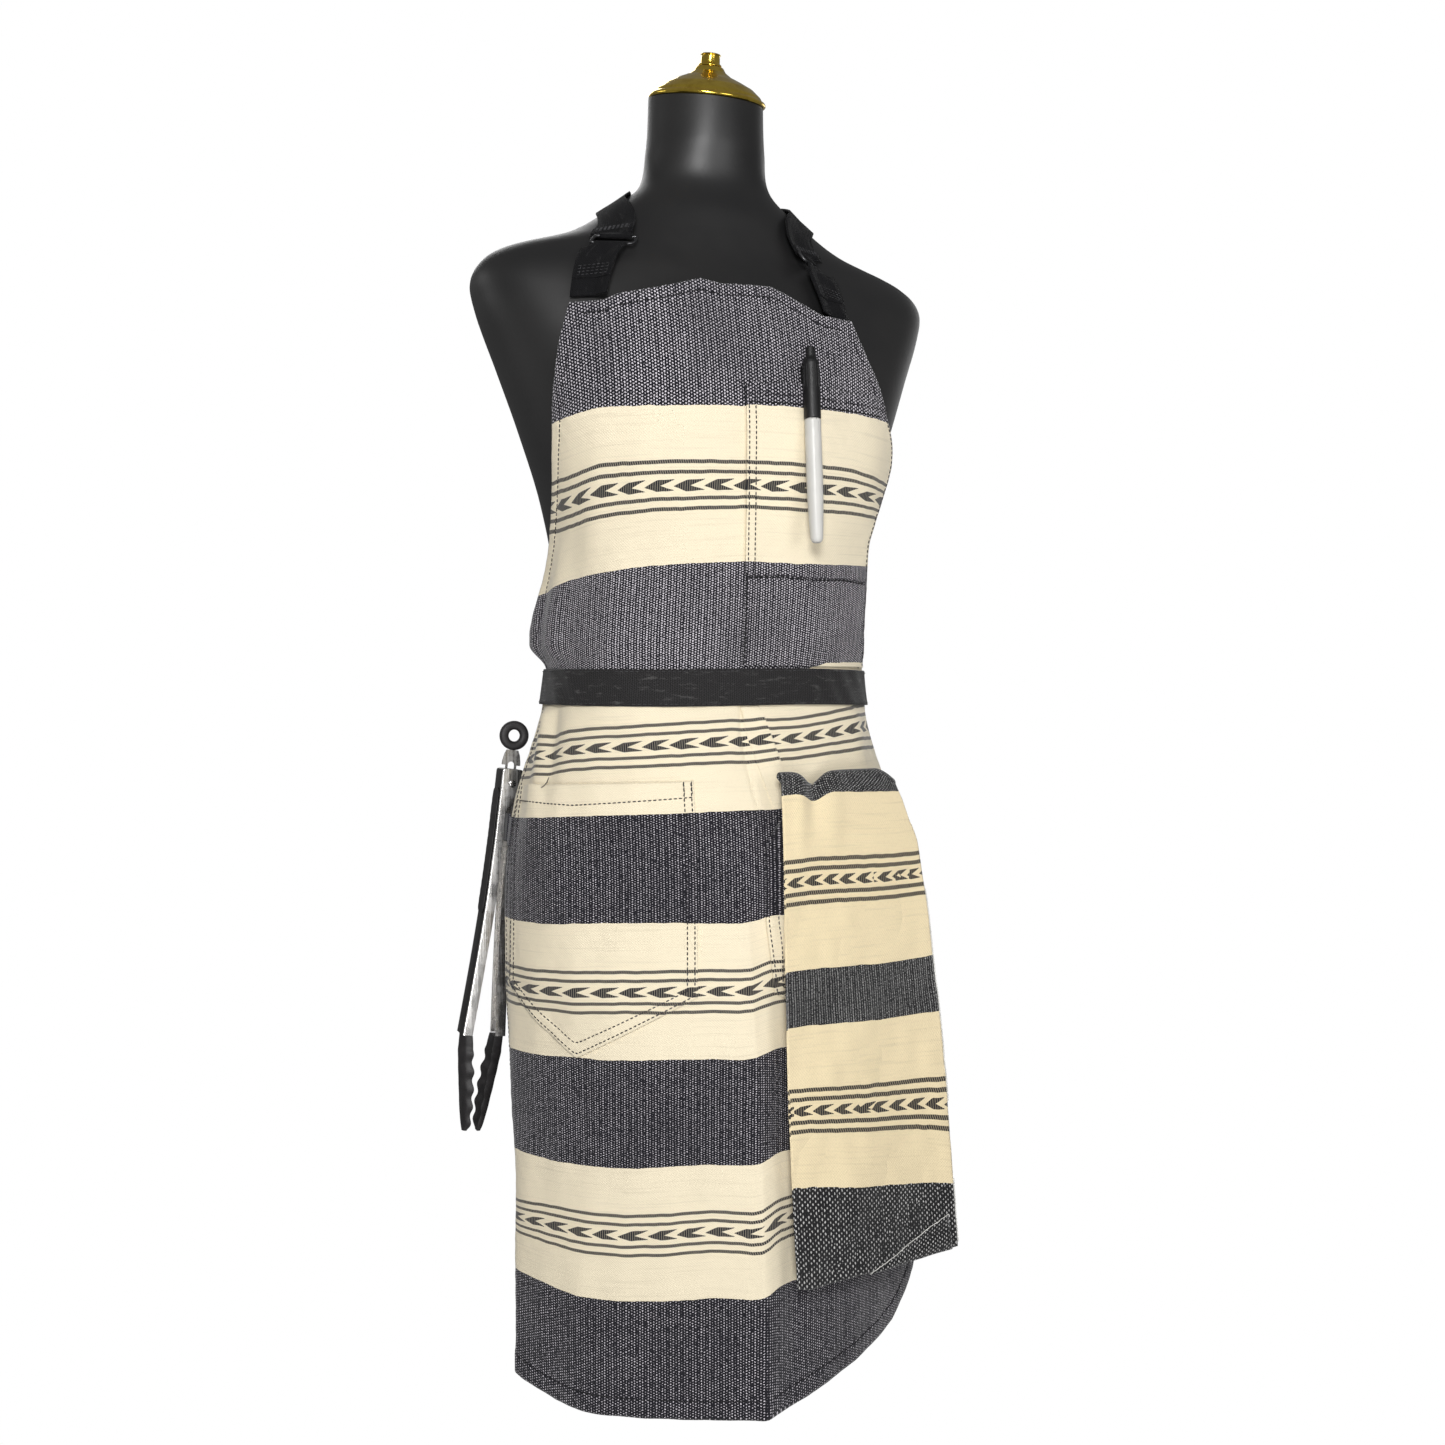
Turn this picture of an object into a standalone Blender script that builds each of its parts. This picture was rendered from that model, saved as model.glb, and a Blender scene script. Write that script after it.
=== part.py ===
"""Kitchen apron worn by a headless tailor's form, with a pair of locking tongs hung on a side loop,
a folded towel tucked in a hip pocket and a marker clipped to the chest pocket.

Metres, +Z up. The form faces -Y. The origin is the middle of the underside of the stand plate.
"""

import math

import bmesh
import bpy
from mathutils import Vector

TOUCH_GAP = 0.0004  # clearance kept between touching pieces
CLOTH = 0.0012  # thickness of the woven cloth
PANEL_GAP = 0.0018  # from the apron to a hip pocket, whose facets differ from the apron's
CHEST_GAP = 0.0026  # from the apron to the chest pocket, which the marker's clip holds open
WEBBING = 0.0015  # thickness of the black straps

# Body form: height, half width, front depth, back depth, squareness of the horizontal section
FORM_BOTTOM = 0.004
FORM_TOP = 0.905
FORM_WALL = 0.0035
FORM_STATIONS = (
    (0.000, 0.130, 0.094, 0.104, 2.2),
    (0.100, 0.136, 0.098, 0.110, 2.2),
    (0.200, 0.141, 0.104, 0.113, 2.2),
    (0.284, 0.142, 0.108, 0.112, 2.2),
    (0.360, 0.133, 0.105, 0.099, 2.2),
    (0.450, 0.1185, 0.092, 0.086, 2.2),
    (0.530, 0.117, 0.094, 0.086, 2.2),
    (0.590, 0.127, 0.102, 0.090, 2.3),
    (0.645, 0.144, 0.106, 0.096, 2.4),
    (0.690, 0.1605, 0.094, 0.098, 2.5),
    (0.730, 0.1765, 0.078, 0.092, 2.5),
    (0.752, 0.1795, 0.067, 0.085, 2.5),
    (0.768, 0.164, 0.058, 0.078, 2.4),
    (0.785, 0.115, 0.052, 0.070, 2.3),
    (0.805, 0.083, 0.047, 0.061, 2.1),
    (0.830, 0.0525, 0.040, 0.058, 2.0),
    (0.860, 0.0458, 0.045, 0.045, 2.0),
    (0.905, 0.0437, 0.0475, 0.039, 2.0),
)

# Outside of the worn apron: height, left and right half width, front depth, back depth, squareness.
# A squareness well under 2 gives the crease down the middle of the skirt.
DRAPE_STATIONS = (
    (-0.065, 0.152, 0.196, 0.119, 0.100, 1.30),
    (0.050, 0.152, 0.190, 0.119, 0.110, 1.40),
    (0.160, 0.154, 0.180, 0.118, 0.118, 1.60),
    (0.284, 0.1555, 0.166, 0.117, 0.118, 1.85),
    (0.360, 0.150, 0.152, 0.112, 0.106, 2.00),
    (0.450, 0.1235, 0.1235, 0.097, 0.091, 2.20),
    (0.530, 0.1235, 0.130, 0.104, 0.091, 2.30),
    (0.590, 0.131, 0.140, 0.112, 0.095, 2.40),
    (0.645, 0.146, 0.150, 0.117, 0.099, 2.50),
    (0.690, 0.155, 0.155, 0.110, 0.098, 2.50),
    (0.745, 0.150, 0.150, 0.094, 0.092, 2.50),
)
DRAPE_STANDOFF = 0.0032  # least distance from the form to the outside of the apron

# Apron: height and distance from the centre line, measured round the body, of its two side edges
HEM = -0.065
BIB_TOP = 0.720
BIB_PEAK = 0.018  # rise of the bib's wavy top edge at its middle
SIDE_EDGES = (
    (-0.065, -0.195, 0.165),
    (-0.052, -0.222, 0.196),
    (-0.020, -0.231, 0.214),
    (0.100, -0.230, 0.216),
    (0.284, -0.226, 0.208),
    (0.370, -0.219, 0.186),
    (0.440, -0.203, 0.150),
    (0.470, -0.199, 0.130),
    (0.525, -0.190, 0.122),
    (0.600, -0.170, 0.126),
    (0.655, -0.158, 0.112),
    (0.690, -0.147, 0.092),
    (0.720, -0.136, 0.077),
)

WAIST = 0.452  # middle of the belt
BELT_WIDTH = 0.025
BELT_LIFT = 0.0030  # from the apron to the inside of the belt
KNOT_SIZE = (0.030, 0.014, 0.026)
TAIL_LENGTH = 0.30

STRAP_WIDTH = 0.024
RING_WIRE = 0.0022
RING_LENGTH = 0.031
RING_HEIGHT = 0.009

# The neck is cut off on a slant that falls towards the front; the cap's heights are along its axis
NECK_SLANT = math.radians(13)
NECK_MIDDLE = Vector((0, -0.0042, 0.8972))
NECK_AXIS = (0, -math.sin(NECK_SLANT), math.cos(NECK_SLANT))
CAP_RADIUS = 0.0450
CAP_SEAT = TOUCH_GAP
STEM_TOP = 0.036
NECK_BLOCK_RADIUS = 0.0350
STEM_RADIUS = 0.0078
SPIGOT_RADIUS = 0.006
SPIGOT_LENGTH = 0.030

STAND_PLATE_RADIUS = 0.045
STAND_PLATE_THICKNESS = 0.006
BASE_BOARD_THICKNESS = 0.012
SCREW_CIRCLE = 0.033
SCREW_RADIUS = 0.002
SCREW_HEAD_RADIUS = 0.004
SCREW_LENGTH = 0.015

# Tongs: hung beside the left hip with the rivet at TONG_PIVOT, leaning out by TONG_LEAN
TONG_PIVOT = Vector((-0.1431, 0.0470, 0.3787))
TONG_LEAN = math.radians(6.6)
TONG_HEAD = 0.011  # steel above the rivet
TONG_ARM = 0.192  # rivet to the end of each steel arm
TONG_TIP_END = 0.2656
ARM_WALL = 0.0008
OUTER_ARM_HALF_WIDTH = 0.0095
INNER_ARM_HALF_WIDTH = 0.0083
RIVET_RADIUS = 0.0022
TAB_THICKNESS = 0.0014
TAB_TRAVEL = 0.014
HANG_RING = (0.0113, 0.0045, 0.006)  # outer radius, hole radius, thickness
# Distance below the rivet, distance of the web from the tongs' axis, depth of the flanges
ARM_STATIONS = (
    (-TONG_HEAD, 0.0087, 0.0125),
    (0.014, 0.0087, 0.0125),
    (0.019, 0.0088, 0.0068),
    (0.045, 0.0090, 0.0068),
    (0.090, 0.0104, 0.0080),
    (0.140, 0.0132, 0.0080),
    (TONG_ARM, 0.0170, 0.0080),
)
LOOP_DEPTH = 0.0145  # inside of the tong loop, from the tongs' axis towards the body
LOOP_HALF_SPAN = 0.0118
LOOP_TOP = 0.0225  # below the rivet
LOOP_HEIGHT = 0.021

# Marker: clipped over the chest pocket's top hem
MARKER_RADIUS = 0.0058
MARKER_CAP_LENGTH = 0.0505
MARKER_GRIP = (0.0290, 0.657)  # distance round the body and height where the clip holds the pocket
MARKER_BELOW_GRIP = 0.1035  # from there down to the tail
MARKER_TILT = -0.016  # sideways per unit of height
MARKER_LENGTH = 0.138

# Towel: folded in three lengthwise, one end tucked in the right hip pocket and folded over its hem
TOWEL_TOP = 0.393
TOWEL_BOTTOM = 0.026
TOWEL_LAYER = 0.0023  # each hanging half
TOWEL_SLOT = 0.0036  # room for the pocket's front between the halves
TOWEL_TUCK = ((0.016, 0.092), 0.295)  # width and lowest point of the half inside the pocket
TOWEL_FACE_Y = -0.1350  # front face at x = 0
TOWEL_SLOPE = 0.255  # how far the face turns back towards its right edge

FINISHES = {  # colour, roughness, metallic
    "satin black shell": ((0.018, 0.018, 0.019), 0.42, 0.0),
    "polished gold": ((0.80, 0.58, 0.10), 0.14, 1.0),
    "painted board": ((0.05, 0.045, 0.04), 0.7, 0.0),
    "zinc steel": ((0.55, 0.55, 0.56), 0.35, 1.0),
    "striped cotton": ((0.62, 0.57, 0.47), 0.9, 0.0),
    "black webbing": ((0.012, 0.012, 0.013), 0.8, 0.0),
    "brushed stainless": ((0.62, 0.61, 0.60), 0.28, 1.0),
    "black rubber": ((0.02, 0.018, 0.018), 0.6, 0.0),
    "black plastic": ((0.012, 0.012, 0.013), 0.35, 0.0),
    "grey plastic": ((0.62, 0.64, 0.66), 0.35, 0.0),
    "felt": ((0.02, 0.02, 0.02), 0.95, 0.0),
}


def clear_scene():
    for obj in list(bpy.data.objects):
        bpy.data.objects.remove(obj, do_unlink=True)


def finish(name):
    found = bpy.data.materials.get(name)
    if found:
        return found
    colour, roughness, metallic = FINISHES[name]
    made = bpy.data.materials.new(name)
    made.use_nodes = True
    shader = made.node_tree.nodes["Principled BSDF"]
    shader.inputs["Base Color"].default_value = (*colour, 1.0)
    shader.inputs["Roughness"].default_value = roughness
    shader.inputs["Metallic"].default_value = metallic
    return made


def add_mesh(name, points, faces, material, at=(0, 0, 0)):
    """A mesh object whose origin is at `at`, from world points."""
    place = Vector(at)
    mesh = bpy.data.meshes.new(name)
    mesh.from_pydata([Vector(p) - place for p in points], [], faces)
    work = bmesh.new()
    work.from_mesh(mesh)
    bmesh.ops.recalc_face_normals(work, faces=work.faces)
    work.to_mesh(mesh)
    work.free()
    mesh.shade_smooth()
    mesh.set_sharp_from_angle(angle=math.radians(35))
    mesh.materials.append(finish(material))
    obj = bpy.data.objects.new(name, mesh)
    obj.location = place
    bpy.context.scene.collection.objects.link(obj)
    return obj


def loft(name, rings, material, at=(0, 0, 0)):
    """A closed solid through rings of equally many points, capped at both ends."""
    count = len(rings[0])
    points = [p for ring in rings for p in ring]
    faces = []
    for i in range(len(rings) - 1):
        for j in range(count):
            k = (j + 1) % count
            a, b = i * count, (i + 1) * count
            faces.append((a + j, a + k, b + k, b + j))
    faces.append(tuple(range(count)))
    faces.append(tuple(len(points) - 1 - j for j in range(count)))
    return add_mesh(name, points, faces, material, at)


def ribbon(name, rows, material, at=(0, 0, 0)):
    """A closed solid between two faces; each row is (front points, back points) across the width."""
    across = len(rows[0][0])
    points = [p for front, back in rows for p in (*front, *back)]
    step = 2 * across
    faces = []
    for i in range(len(rows) - 1):
        a, b = i * step, (i + 1) * step
        for j in range(across - 1):
            faces.append((a + j, a + j + 1, b + j + 1, b + j))
            faces.append((a + across + j, b + across + j, b + across + j + 1, a + across + j + 1))
        faces.append((a, b, b + across, a + across))
        faces.append((a + across - 1, a + step - 1, b + step - 1, b + across - 1))
    for a in (0, (len(rows) - 1) * step):
        for j in range(across - 1):
            faces.append((a + j, a + across + j, a + across + j + 1, a + j + 1))
    return add_mesh(name, points, faces, material, at)


def turned(name, profile, material, at, axis=(0, 0, 1), segments=32):
    """A solid of revolution about `axis` through `at`; the profile is a closed run of (radius, height)."""
    up = Vector(axis).normalized()
    side = up.orthogonal().normalized()
    other = up.cross(side)
    place = Vector(at)
    points, faces, index = [], [], []
    for radius, height in profile:
        if radius < 1e-6:
            index.append([len(points)] * segments)
            points.append(place + up * height)
            continue
        index.append(list(range(len(points), len(points) + segments)))
        for i in range(segments):
            turn = math.tau * i / segments
            points.append(place + up * height + (side * math.cos(turn) + other * math.sin(turn)) * radius)
    closed = profile[0][0] > 1e-6
    for k in range(len(profile) if closed else len(profile) - 1):
        low, high = index[k], index[(k + 1) % len(profile)]
        for i in range(segments):
            j = (i + 1) % segments
            corners = list(dict.fromkeys((low[i], low[j], high[j], high[i])))
            if len(corners) > 2:
                faces.append(corners)
    return add_mesh(name, points, faces, material, at)


def cut(target, cutter):
    """Subtracts a helper body, which stays in the scene as a hidden wire cutter."""
    cutter.hide_render = True
    cutter.display_type = "WIRE"
    modifier = target.modifiers.new("cut " + cutter.name, "BOOLEAN")
    modifier.operation = "DIFFERENCE"
    modifier.object = cutter


def smooth_stations(stations, height):
    """The stations' values at this height, on a cubic through them."""
    heights = [row[0] for row in stations]
    height = min(max(height, heights[0]), heights[-1])
    low = max(i for i, h in enumerate(heights[:-1]) if h <= height)

    def slope(i, k):
        before, after = max(i - 1, 0), min(i + 1, len(stations) - 1)
        return (stations[after][k] - stations[before][k]) / (heights[after] - heights[before])

    span = heights[low + 1] - heights[low]
    t = (height - heights[low]) / span
    values = []
    for k in range(1, len(stations[0])):
        values.append(
            (2 * t**3 - 3 * t**2 + 1) * stations[low][k]
            + (t**3 - 2 * t**2 + t) * span * slope(low, k)
            + (3 * t**2 - 2 * t**3) * stations[low + 1][k]
            + (t**3 - t**2) * span * slope(low + 1, k)
        )
    return values


def section_radius(half_width, depth, squareness, angle):
    """Radius of a superellipse at an angle from its depth axis."""
    across = abs(math.sin(angle) / half_width) ** squareness
    along = abs(math.cos(angle) / depth) ** squareness
    return (across + along) ** (-1 / squareness)


def form_radius(height, angle):
    half_width, front, back, squareness = smooth_stations(FORM_STATIONS, height)
    return section_radius(half_width, front if math.cos(angle) > 0 else back, squareness, angle)


def drape_radius(height, angle):
    """The apron's outside: its own section, kept clear of the form by a smooth maximum."""
    left, right, front, back, squareness = smooth_stations(DRAPE_STATIONS, height)
    own = section_radius(
        left if math.sin(angle) < 0 else right, front if math.cos(angle) > 0 else back, squareness, angle
    )
    least = form_radius(height, angle) + DRAPE_STANDOFF
    sharpness = 60
    return own * (1 + (least / own) ** sharpness) ** (1 / sharpness)


def around(radius, angle, height):
    """Angle 0 is the front, and positive angles go towards +X."""
    return Vector((radius * math.sin(angle), -radius * math.cos(angle), height))


def form_point(height, angle, lift=0.0):
    return around(form_radius(height, angle) + lift, angle, height)


ANGLE_STEP = math.radians(2)
drape_runs = {}


def drape_run(height):
    """(distance round the body, angle) along the apron's outside, from -170 to 170 degrees."""
    key = round(height, 5)
    if key not in drape_runs:
        angles = [ANGLE_STEP * i for i in range(-85, 86)]
        points = [around(drape_radius(height, a), a, height) for a in angles]
        lengths = [0.0]
        for before, after in zip(points, points[1:]):
            lengths.append(lengths[-1] + (after - before).length)
        middle = lengths[85]
        drape_runs[key] = [(length - middle, angle) for length, angle in zip(lengths, angles)]
    return drape_runs[key]


def drape_angle(distance, height):
    run = drape_run(height)
    for (near, start), (far, end) in zip(run, run[1:]):
        if distance <= far:
            return start + (end - start) * (distance - near) / (far - near)
    return run[-1][1]


def drape_point(distance, height, lift=0.0):
    """The point at this distance round the body from the front centre line."""
    angle = drape_angle(distance, height)
    here = around(drape_radius(height, angle), angle, height)
    if not lift:
        return here
    beside = around(drape_radius(height, angle + 0.02), angle + 0.02, height)
    above = around(drape_radius(height + 0.002, angle), angle, height + 0.002)
    return here + (beside - here).cross(above - here).normalized() * lift


def cloth_panel(name, place, columns, rows, lift, shape=None):
    """A panel on the apron; place(u, v) gives (distance round the body, height).

    shape(point, depth) may move a point that lies `depth` behind the panel's outside."""
    made = []
    for j in range(rows + 1):
        spots = [place(i / columns, j / rows) for i in range(columns + 1)]
        outside = [drape_point(s, z, lift + CLOTH) for s, z in spots]
        inside = [drape_point(s, z, lift) for s, z in spots]
        if shape:
            outside = [shape(p, 0.0) for p in outside]
            inside = [shape(p, CLOTH) for p in inside]
        made.append((outside, inside))
    return ribbon(name, made, "striped cotton")


def unit_step(value):
    return min(max(value, 0.0), 1.0)


def smooth_step(value):
    t = unit_step(value)
    return t * t * (3 - 2 * t)


# --- body form -------------------------------------------------------------------------------------


def form_heights():
    lower = [FORM_BOTTOM + (0.72 - FORM_BOTTOM) * i / 13 for i in range(14)]
    upper = [0.738, 0.750, 0.760, 0.768, 0.777, 0.787, 0.800, 0.815, 0.832, 0.860]
    return lower + upper


def neck_edge(angle, lift=0.0):
    """A point of the neck's slanted top edge."""
    height = NECK_MIDDLE.z
    for _ in range(8):
        forward = form_point(height, angle, lift).y - NECK_MIDDLE.y
        height = NECK_MIDDLE.z + math.tan(NECK_SLANT) * forward
    return form_point(height, angle, lift)


def build_form():
    sides = 28
    turns = [math.tau * i / sides for i in range(sides)]
    outer = [[form_point(z, a) for a in turns] for z in form_heights()]
    inner = [[form_point(z, a, -FORM_WALL) for a in turns] for z in form_heights()]
    outer.append([neck_edge(a) for a in turns])
    inner.append([neck_edge(a, -FORM_WALL) for a in turns])
    points = [p for ring in outer + inner for p in ring]
    rings = len(outer)
    faces = []

    def band(low, high):
        for j in range(sides):
            k = (j + 1) % sides
            faces.append((low * sides + j, low * sides + k, high * sides + k, high * sides + j))

    for i in range(rings - 1):
        band(i, i + 1)
        band(rings + i + 1, rings + i)
    band(rings, 0)
    band(rings - 1, 2 * rings - 1)
    add_mesh("torso_shell", points, faces, "satin black shell")

    low = STAND_PLATE_THICKNESS + TOUCH_GAP
    board = [
        [form_point(z, a, -FORM_WALL - 0.001) for a in turns] for z in (low, low + BASE_BOARD_THICKNESS)
    ]
    base = loft("base_board", board, "painted board")
    plate_profile = [
        (0, 0),
        (STAND_PLATE_RADIUS - 0.001, 0),
        (STAND_PLATE_RADIUS, 0.001),
        (STAND_PLATE_RADIUS, STAND_PLATE_THICKNESS),
        (0, STAND_PLATE_THICKNESS),
    ]
    plate = turned("stand_plate", plate_profile, "zinc steel", (0, 0, 0), segments=40)
    sink = SCREW_HEAD_RADIUS - SCREW_RADIUS
    low, high = 0.0006, SCREW_LENGTH
    screw = [(0, low), (SCREW_HEAD_RADIUS, low), (SCREW_RADIUS, sink + low), (SCREW_RADIUS, high), (0, high + 0.001)]
    wide = SCREW_RADIUS + TOUCH_GAP
    hole = [(0, -0.001), (SCREW_HEAD_RADIUS + 0.0014, -0.001), (wide, sink + 0.001), (wide, high + 0.0016), (0, high + 0.0016)]
    for i in range(4):
        turn = math.tau * (i + 0.5) / 4
        spot = (SCREW_CIRCLE * math.cos(turn), SCREW_CIRCLE * math.sin(turn), 0)
        turned(f"plate_screw_{i + 1}", screw, "zinc steel", spot, segments=12)
        cutter = turned(f"screw_hole_{i + 1}", hole, "zinc steel", spot, segments=12)
        cut(plate, cutter)
        cut(base, cutter)


def build_neck():
    block = [
        (SPIGOT_RADIUS + TOUCH_GAP, -0.034),
        (NECK_BLOCK_RADIUS, -0.034),
        (NECK_BLOCK_RADIUS, -0.001),
        (SPIGOT_RADIUS + TOUCH_GAP, -0.001),
    ]
    seat = tuple(NECK_MIDDLE)
    turned("neck_block", block, "painted board", seat, axis=NECK_AXIS, segments=32)
    hole = SPIGOT_RADIUS + TOUCH_GAP
    cap = [
        (hole, CAP_SEAT),
        (CAP_RADIUS - 0.0010, CAP_SEAT),
        (CAP_RADIUS, CAP_SEAT + 0.0012),
        (CAP_RADIUS - 0.0006, CAP_SEAT + 0.0030),
        (CAP_RADIUS - 0.0030, CAP_SEAT + 0.0040),
        (CAP_RADIUS - 0.0040, CAP_SEAT + 0.0062),
        (0.0345, CAP_SEAT + 0.0115),
        (0.0255, CAP_SEAT + 0.0158),
        (0.0175, CAP_SEAT + 0.0192),
        (0.0125, CAP_SEAT + 0.0226),
        (0.0100, CAP_SEAT + 0.0262),
        (hole, CAP_SEAT + 0.0262),
    ]
    turned("neck_cap", cap, "polished gold", seat, axis=NECK_AXIS, segments=32)
    collar = CAP_SEAT + 0.0262 + TOUCH_GAP
    stem = [
        (0, CAP_SEAT - SPIGOT_LENGTH),
        (SPIGOT_RADIUS, CAP_SEAT - SPIGOT_LENGTH),
        (SPIGOT_RADIUS, collar),
        (STEM_RADIUS + 0.0012, collar),
        (STEM_RADIUS, collar + 0.0020),
        (STEM_RADIUS, STEM_TOP - 0.0008),
        (STEM_RADIUS - 0.0008, STEM_TOP),
        (0, STEM_TOP),
    ]
    turned("cap_stem", stem, "polished gold", seat, axis=NECK_AXIS, segments=24)


# --- apron -----------------------------------------------------------------------------------------


def bib_wave(u):
    """Rise of the bib's top edge, low at both corners and highest a little left of the middle."""
    return BIB_PEAK * math.sin(math.pi * u) ** 1.4 * (1 + 0.12 * math.cos(9 * u))


def build_apron():
    def body(u, v):
        height = HEM + (BIB_TOP - HEM) * v
        left, right = smooth_stations(SIDE_EDGES, height)
        blend = unit_step((v - 0.93) / 0.07)
        return left + (right - left) * u, height + bib_wave(u) * blend

    cloth_panel("apron_body", body, 24, 24, -CLOTH)

    def chest(u, v):
        height = 0.4685 + (0.664 - 0.4685) * v
        right = smooth_stations(SIDE_EDGES, height)[1] - 0.004
        return -0.018 + (right + 0.018) * u, height

    cloth_panel("chest_pocket", chest, 10, 8, CHEST_GAP)

    def held_open(point, depth):
        """The right pocket's mouth bulges to the back of the towel's hanging half."""
        out = point.copy()
        share = smooth_step((point.x - 0.002) / 0.010) * smooth_step((0.118 - point.x) / 0.022)
        share *= smooth_step((point.z - 0.235) / 0.055)
        bulge = towel_face(point.x, point.z) + TOWEL_LAYER + 0.0012 + depth
        out.y += (min(point.y, bulge) - point.y) * share
        return out

    def hip(sign):
        middle = -0.024

        def place(u, v):
            inner, outer = (-0.0505, -0.2060) if sign < 0 else (2 * middle + 0.0505, 2 * middle + 0.2060)
            distance = inner + (outer - inner) * u
            bottom = 0.236 - 0.046 * (1 - abs(u - 0.56) / (0.44 if u > 0.56 else 0.56))
            mouth = 0.3860 - 0.007 * u if sign < 0 else 0.3832
            return distance, bottom + (mouth - bottom) * v

        return place

    cloth_panel("hip_pocket_left", hip(-1), 12, 6, PANEL_GAP)
    cloth_panel("hip_pocket_right", hip(1), 18, 8, PANEL_GAP, held_open)


def belt_row(angle, lift):
    """Outside and inside points across the belt at this angle, clear of apron and form."""
    outside, inside = [], []
    for side in (-0.5, 0, 0.5):
        height = WAIST + side * BELT_WIDTH
        radius = max(drape_radius(height, angle), form_radius(height, angle)) + lift
        inside.append(around(radius, angle, height))
        outside.append(around(radius + WEBBING, angle, height))
    return outside, inside


def build_belt():
    knot_half_angle = math.radians(9)
    start, end = -math.pi + knot_half_angle, math.pi - knot_half_angle
    count = 54
    rows = [belt_row(start + (end - start) * i / count, BELT_LIFT) for i in range(count + 1)]
    ribbon("waist_belt", rows, "black webbing")

    back = form_point(WAIST, math.pi).y + 0.0055
    wide, deep, tall = KNOT_SIZE
    rings = []
    for share, size in ((-0.5, 0.55), (-0.3, 0.9), (0, 1.0), (0.3, 0.9), (0.5, 0.55)):
        x = wide * share
        rings.append(
            [
                Vector((x, back + deep * 0.5 * (1 + size * math.cos(t)), WAIST + tall * 0.5 * size * math.sin(t)))
                for t in [math.tau * i / 10 for i in range(10)]
            ]
        )
    loft("tie_knot", rings, "black webbing")
    for name, sign, length in (("tie_tail_left", -1, TAIL_LENGTH), ("tie_tail_right", 1, TAIL_LENGTH * 0.92)):
        tail(name, sign, length, back + deep * 0.5)


def tail(name, sign, length, knot_y):
    """A webbing end that leaves the knot's lower side and hangs down behind the form."""
    rows = []
    count = 12
    for i in range(count + 1):
        t = i / count
        height = WAIST - KNOT_SIZE[2] / 2 - 0.001 - length * t
        x = sign * (0.0135 + 0.012 * t)
        y = max(form_radius(height, math.pi) + 0.006, knot_y - 0.001) + 0.004 * math.sin(math.pi * t)
        across = [x + BELT_WIDTH * share for share in (-0.46, 0, 0.46)]
        outside = [Vector((a, y + WEBBING, height)) for a in across]
        inside = [Vector((a, y, height)) for a in across]
        rows.append((outside, inside))
    return ribbon(name, rows, "black webbing")


# Neck strap: height and angle round the form of its middle line, from the front corner to the nape
LEFT_STRAP = ((0.7275, -57.6), (0.745, -58.2), (0.762, -59.2))
LEFT_STRAP_UP = ((0.7735, -60.0), (0.787, -63.5), (0.799, -71.0), (0.810, -84.0), (0.819, -100.0))
RIGHT_STRAP = ((0.7275, 40.0), (0.745, 41.6), (0.760, 43.8))
RIGHT_STRAP_UP = ((0.7718, 44.6), (0.785, 45.8), (0.797, 52.0), (0.808, 67.0), (0.818, 91.0))
NAPE = ((0.822, 125.0), (0.823, 150.0), (0.823, 180.0), (0.823, 210.0), (0.822, 235.0))
STRAP_LIFT = 0.0026


def strap_rows(spots, lift):
    """Rows of a webbing strap laid over the form through (height, angle in degrees) spots."""
    middle = [form_point(z, math.radians(a), lift) for z, a in spots]
    rows = []
    for i, here in enumerate(middle):
        along = (middle[min(i + 1, len(middle) - 1)] - middle[max(i - 1, 0)]).normalized()
        out = Vector((here.x, here.y, 0.35 * math.hypot(here.x, here.y))).normalized()
        across = along.cross(out).normalized()
        out = across.cross(along).normalized()
        outside, inside = [], []
        for side in (-0.5, -0.25, 0, 0.25, 0.5):
            spot = here + across * side * STRAP_WIDTH
            angle = math.atan2(spot.x, -spot.y)
            least = form_radius(min(spot.z, FORM_TOP), angle) + lift
            if math.hypot(spot.x, spot.y) < least:
                spot = around(least, angle, spot.z)
            inside.append(spot)
            outside.append(spot + out * WEBBING)
        rows.append((outside, inside))
    return rows


def refined(spots, parts=2):
    """The same run of spots with more of them, on a smooth curve."""
    made = []
    for i in range(len(spots) - 1):
        p0, p1 = spots[max(i - 1, 0)], spots[i]
        p2, p3 = spots[i + 1], spots[min(i + 2, len(spots) - 1)]
        for k in range(parts):
            t = k / parts
            made.append(
                tuple(
                    0.5 * (2 * b + (c - a) * t + (2 * a - 5 * b + 4 * c - d) * t**2 + (3 * b - a - 3 * c + d) * t**3)
                    for a, b, c, d in zip(p0, p1, p2, p3)
                )
            )
    return made + [spots[-1]]


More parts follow.
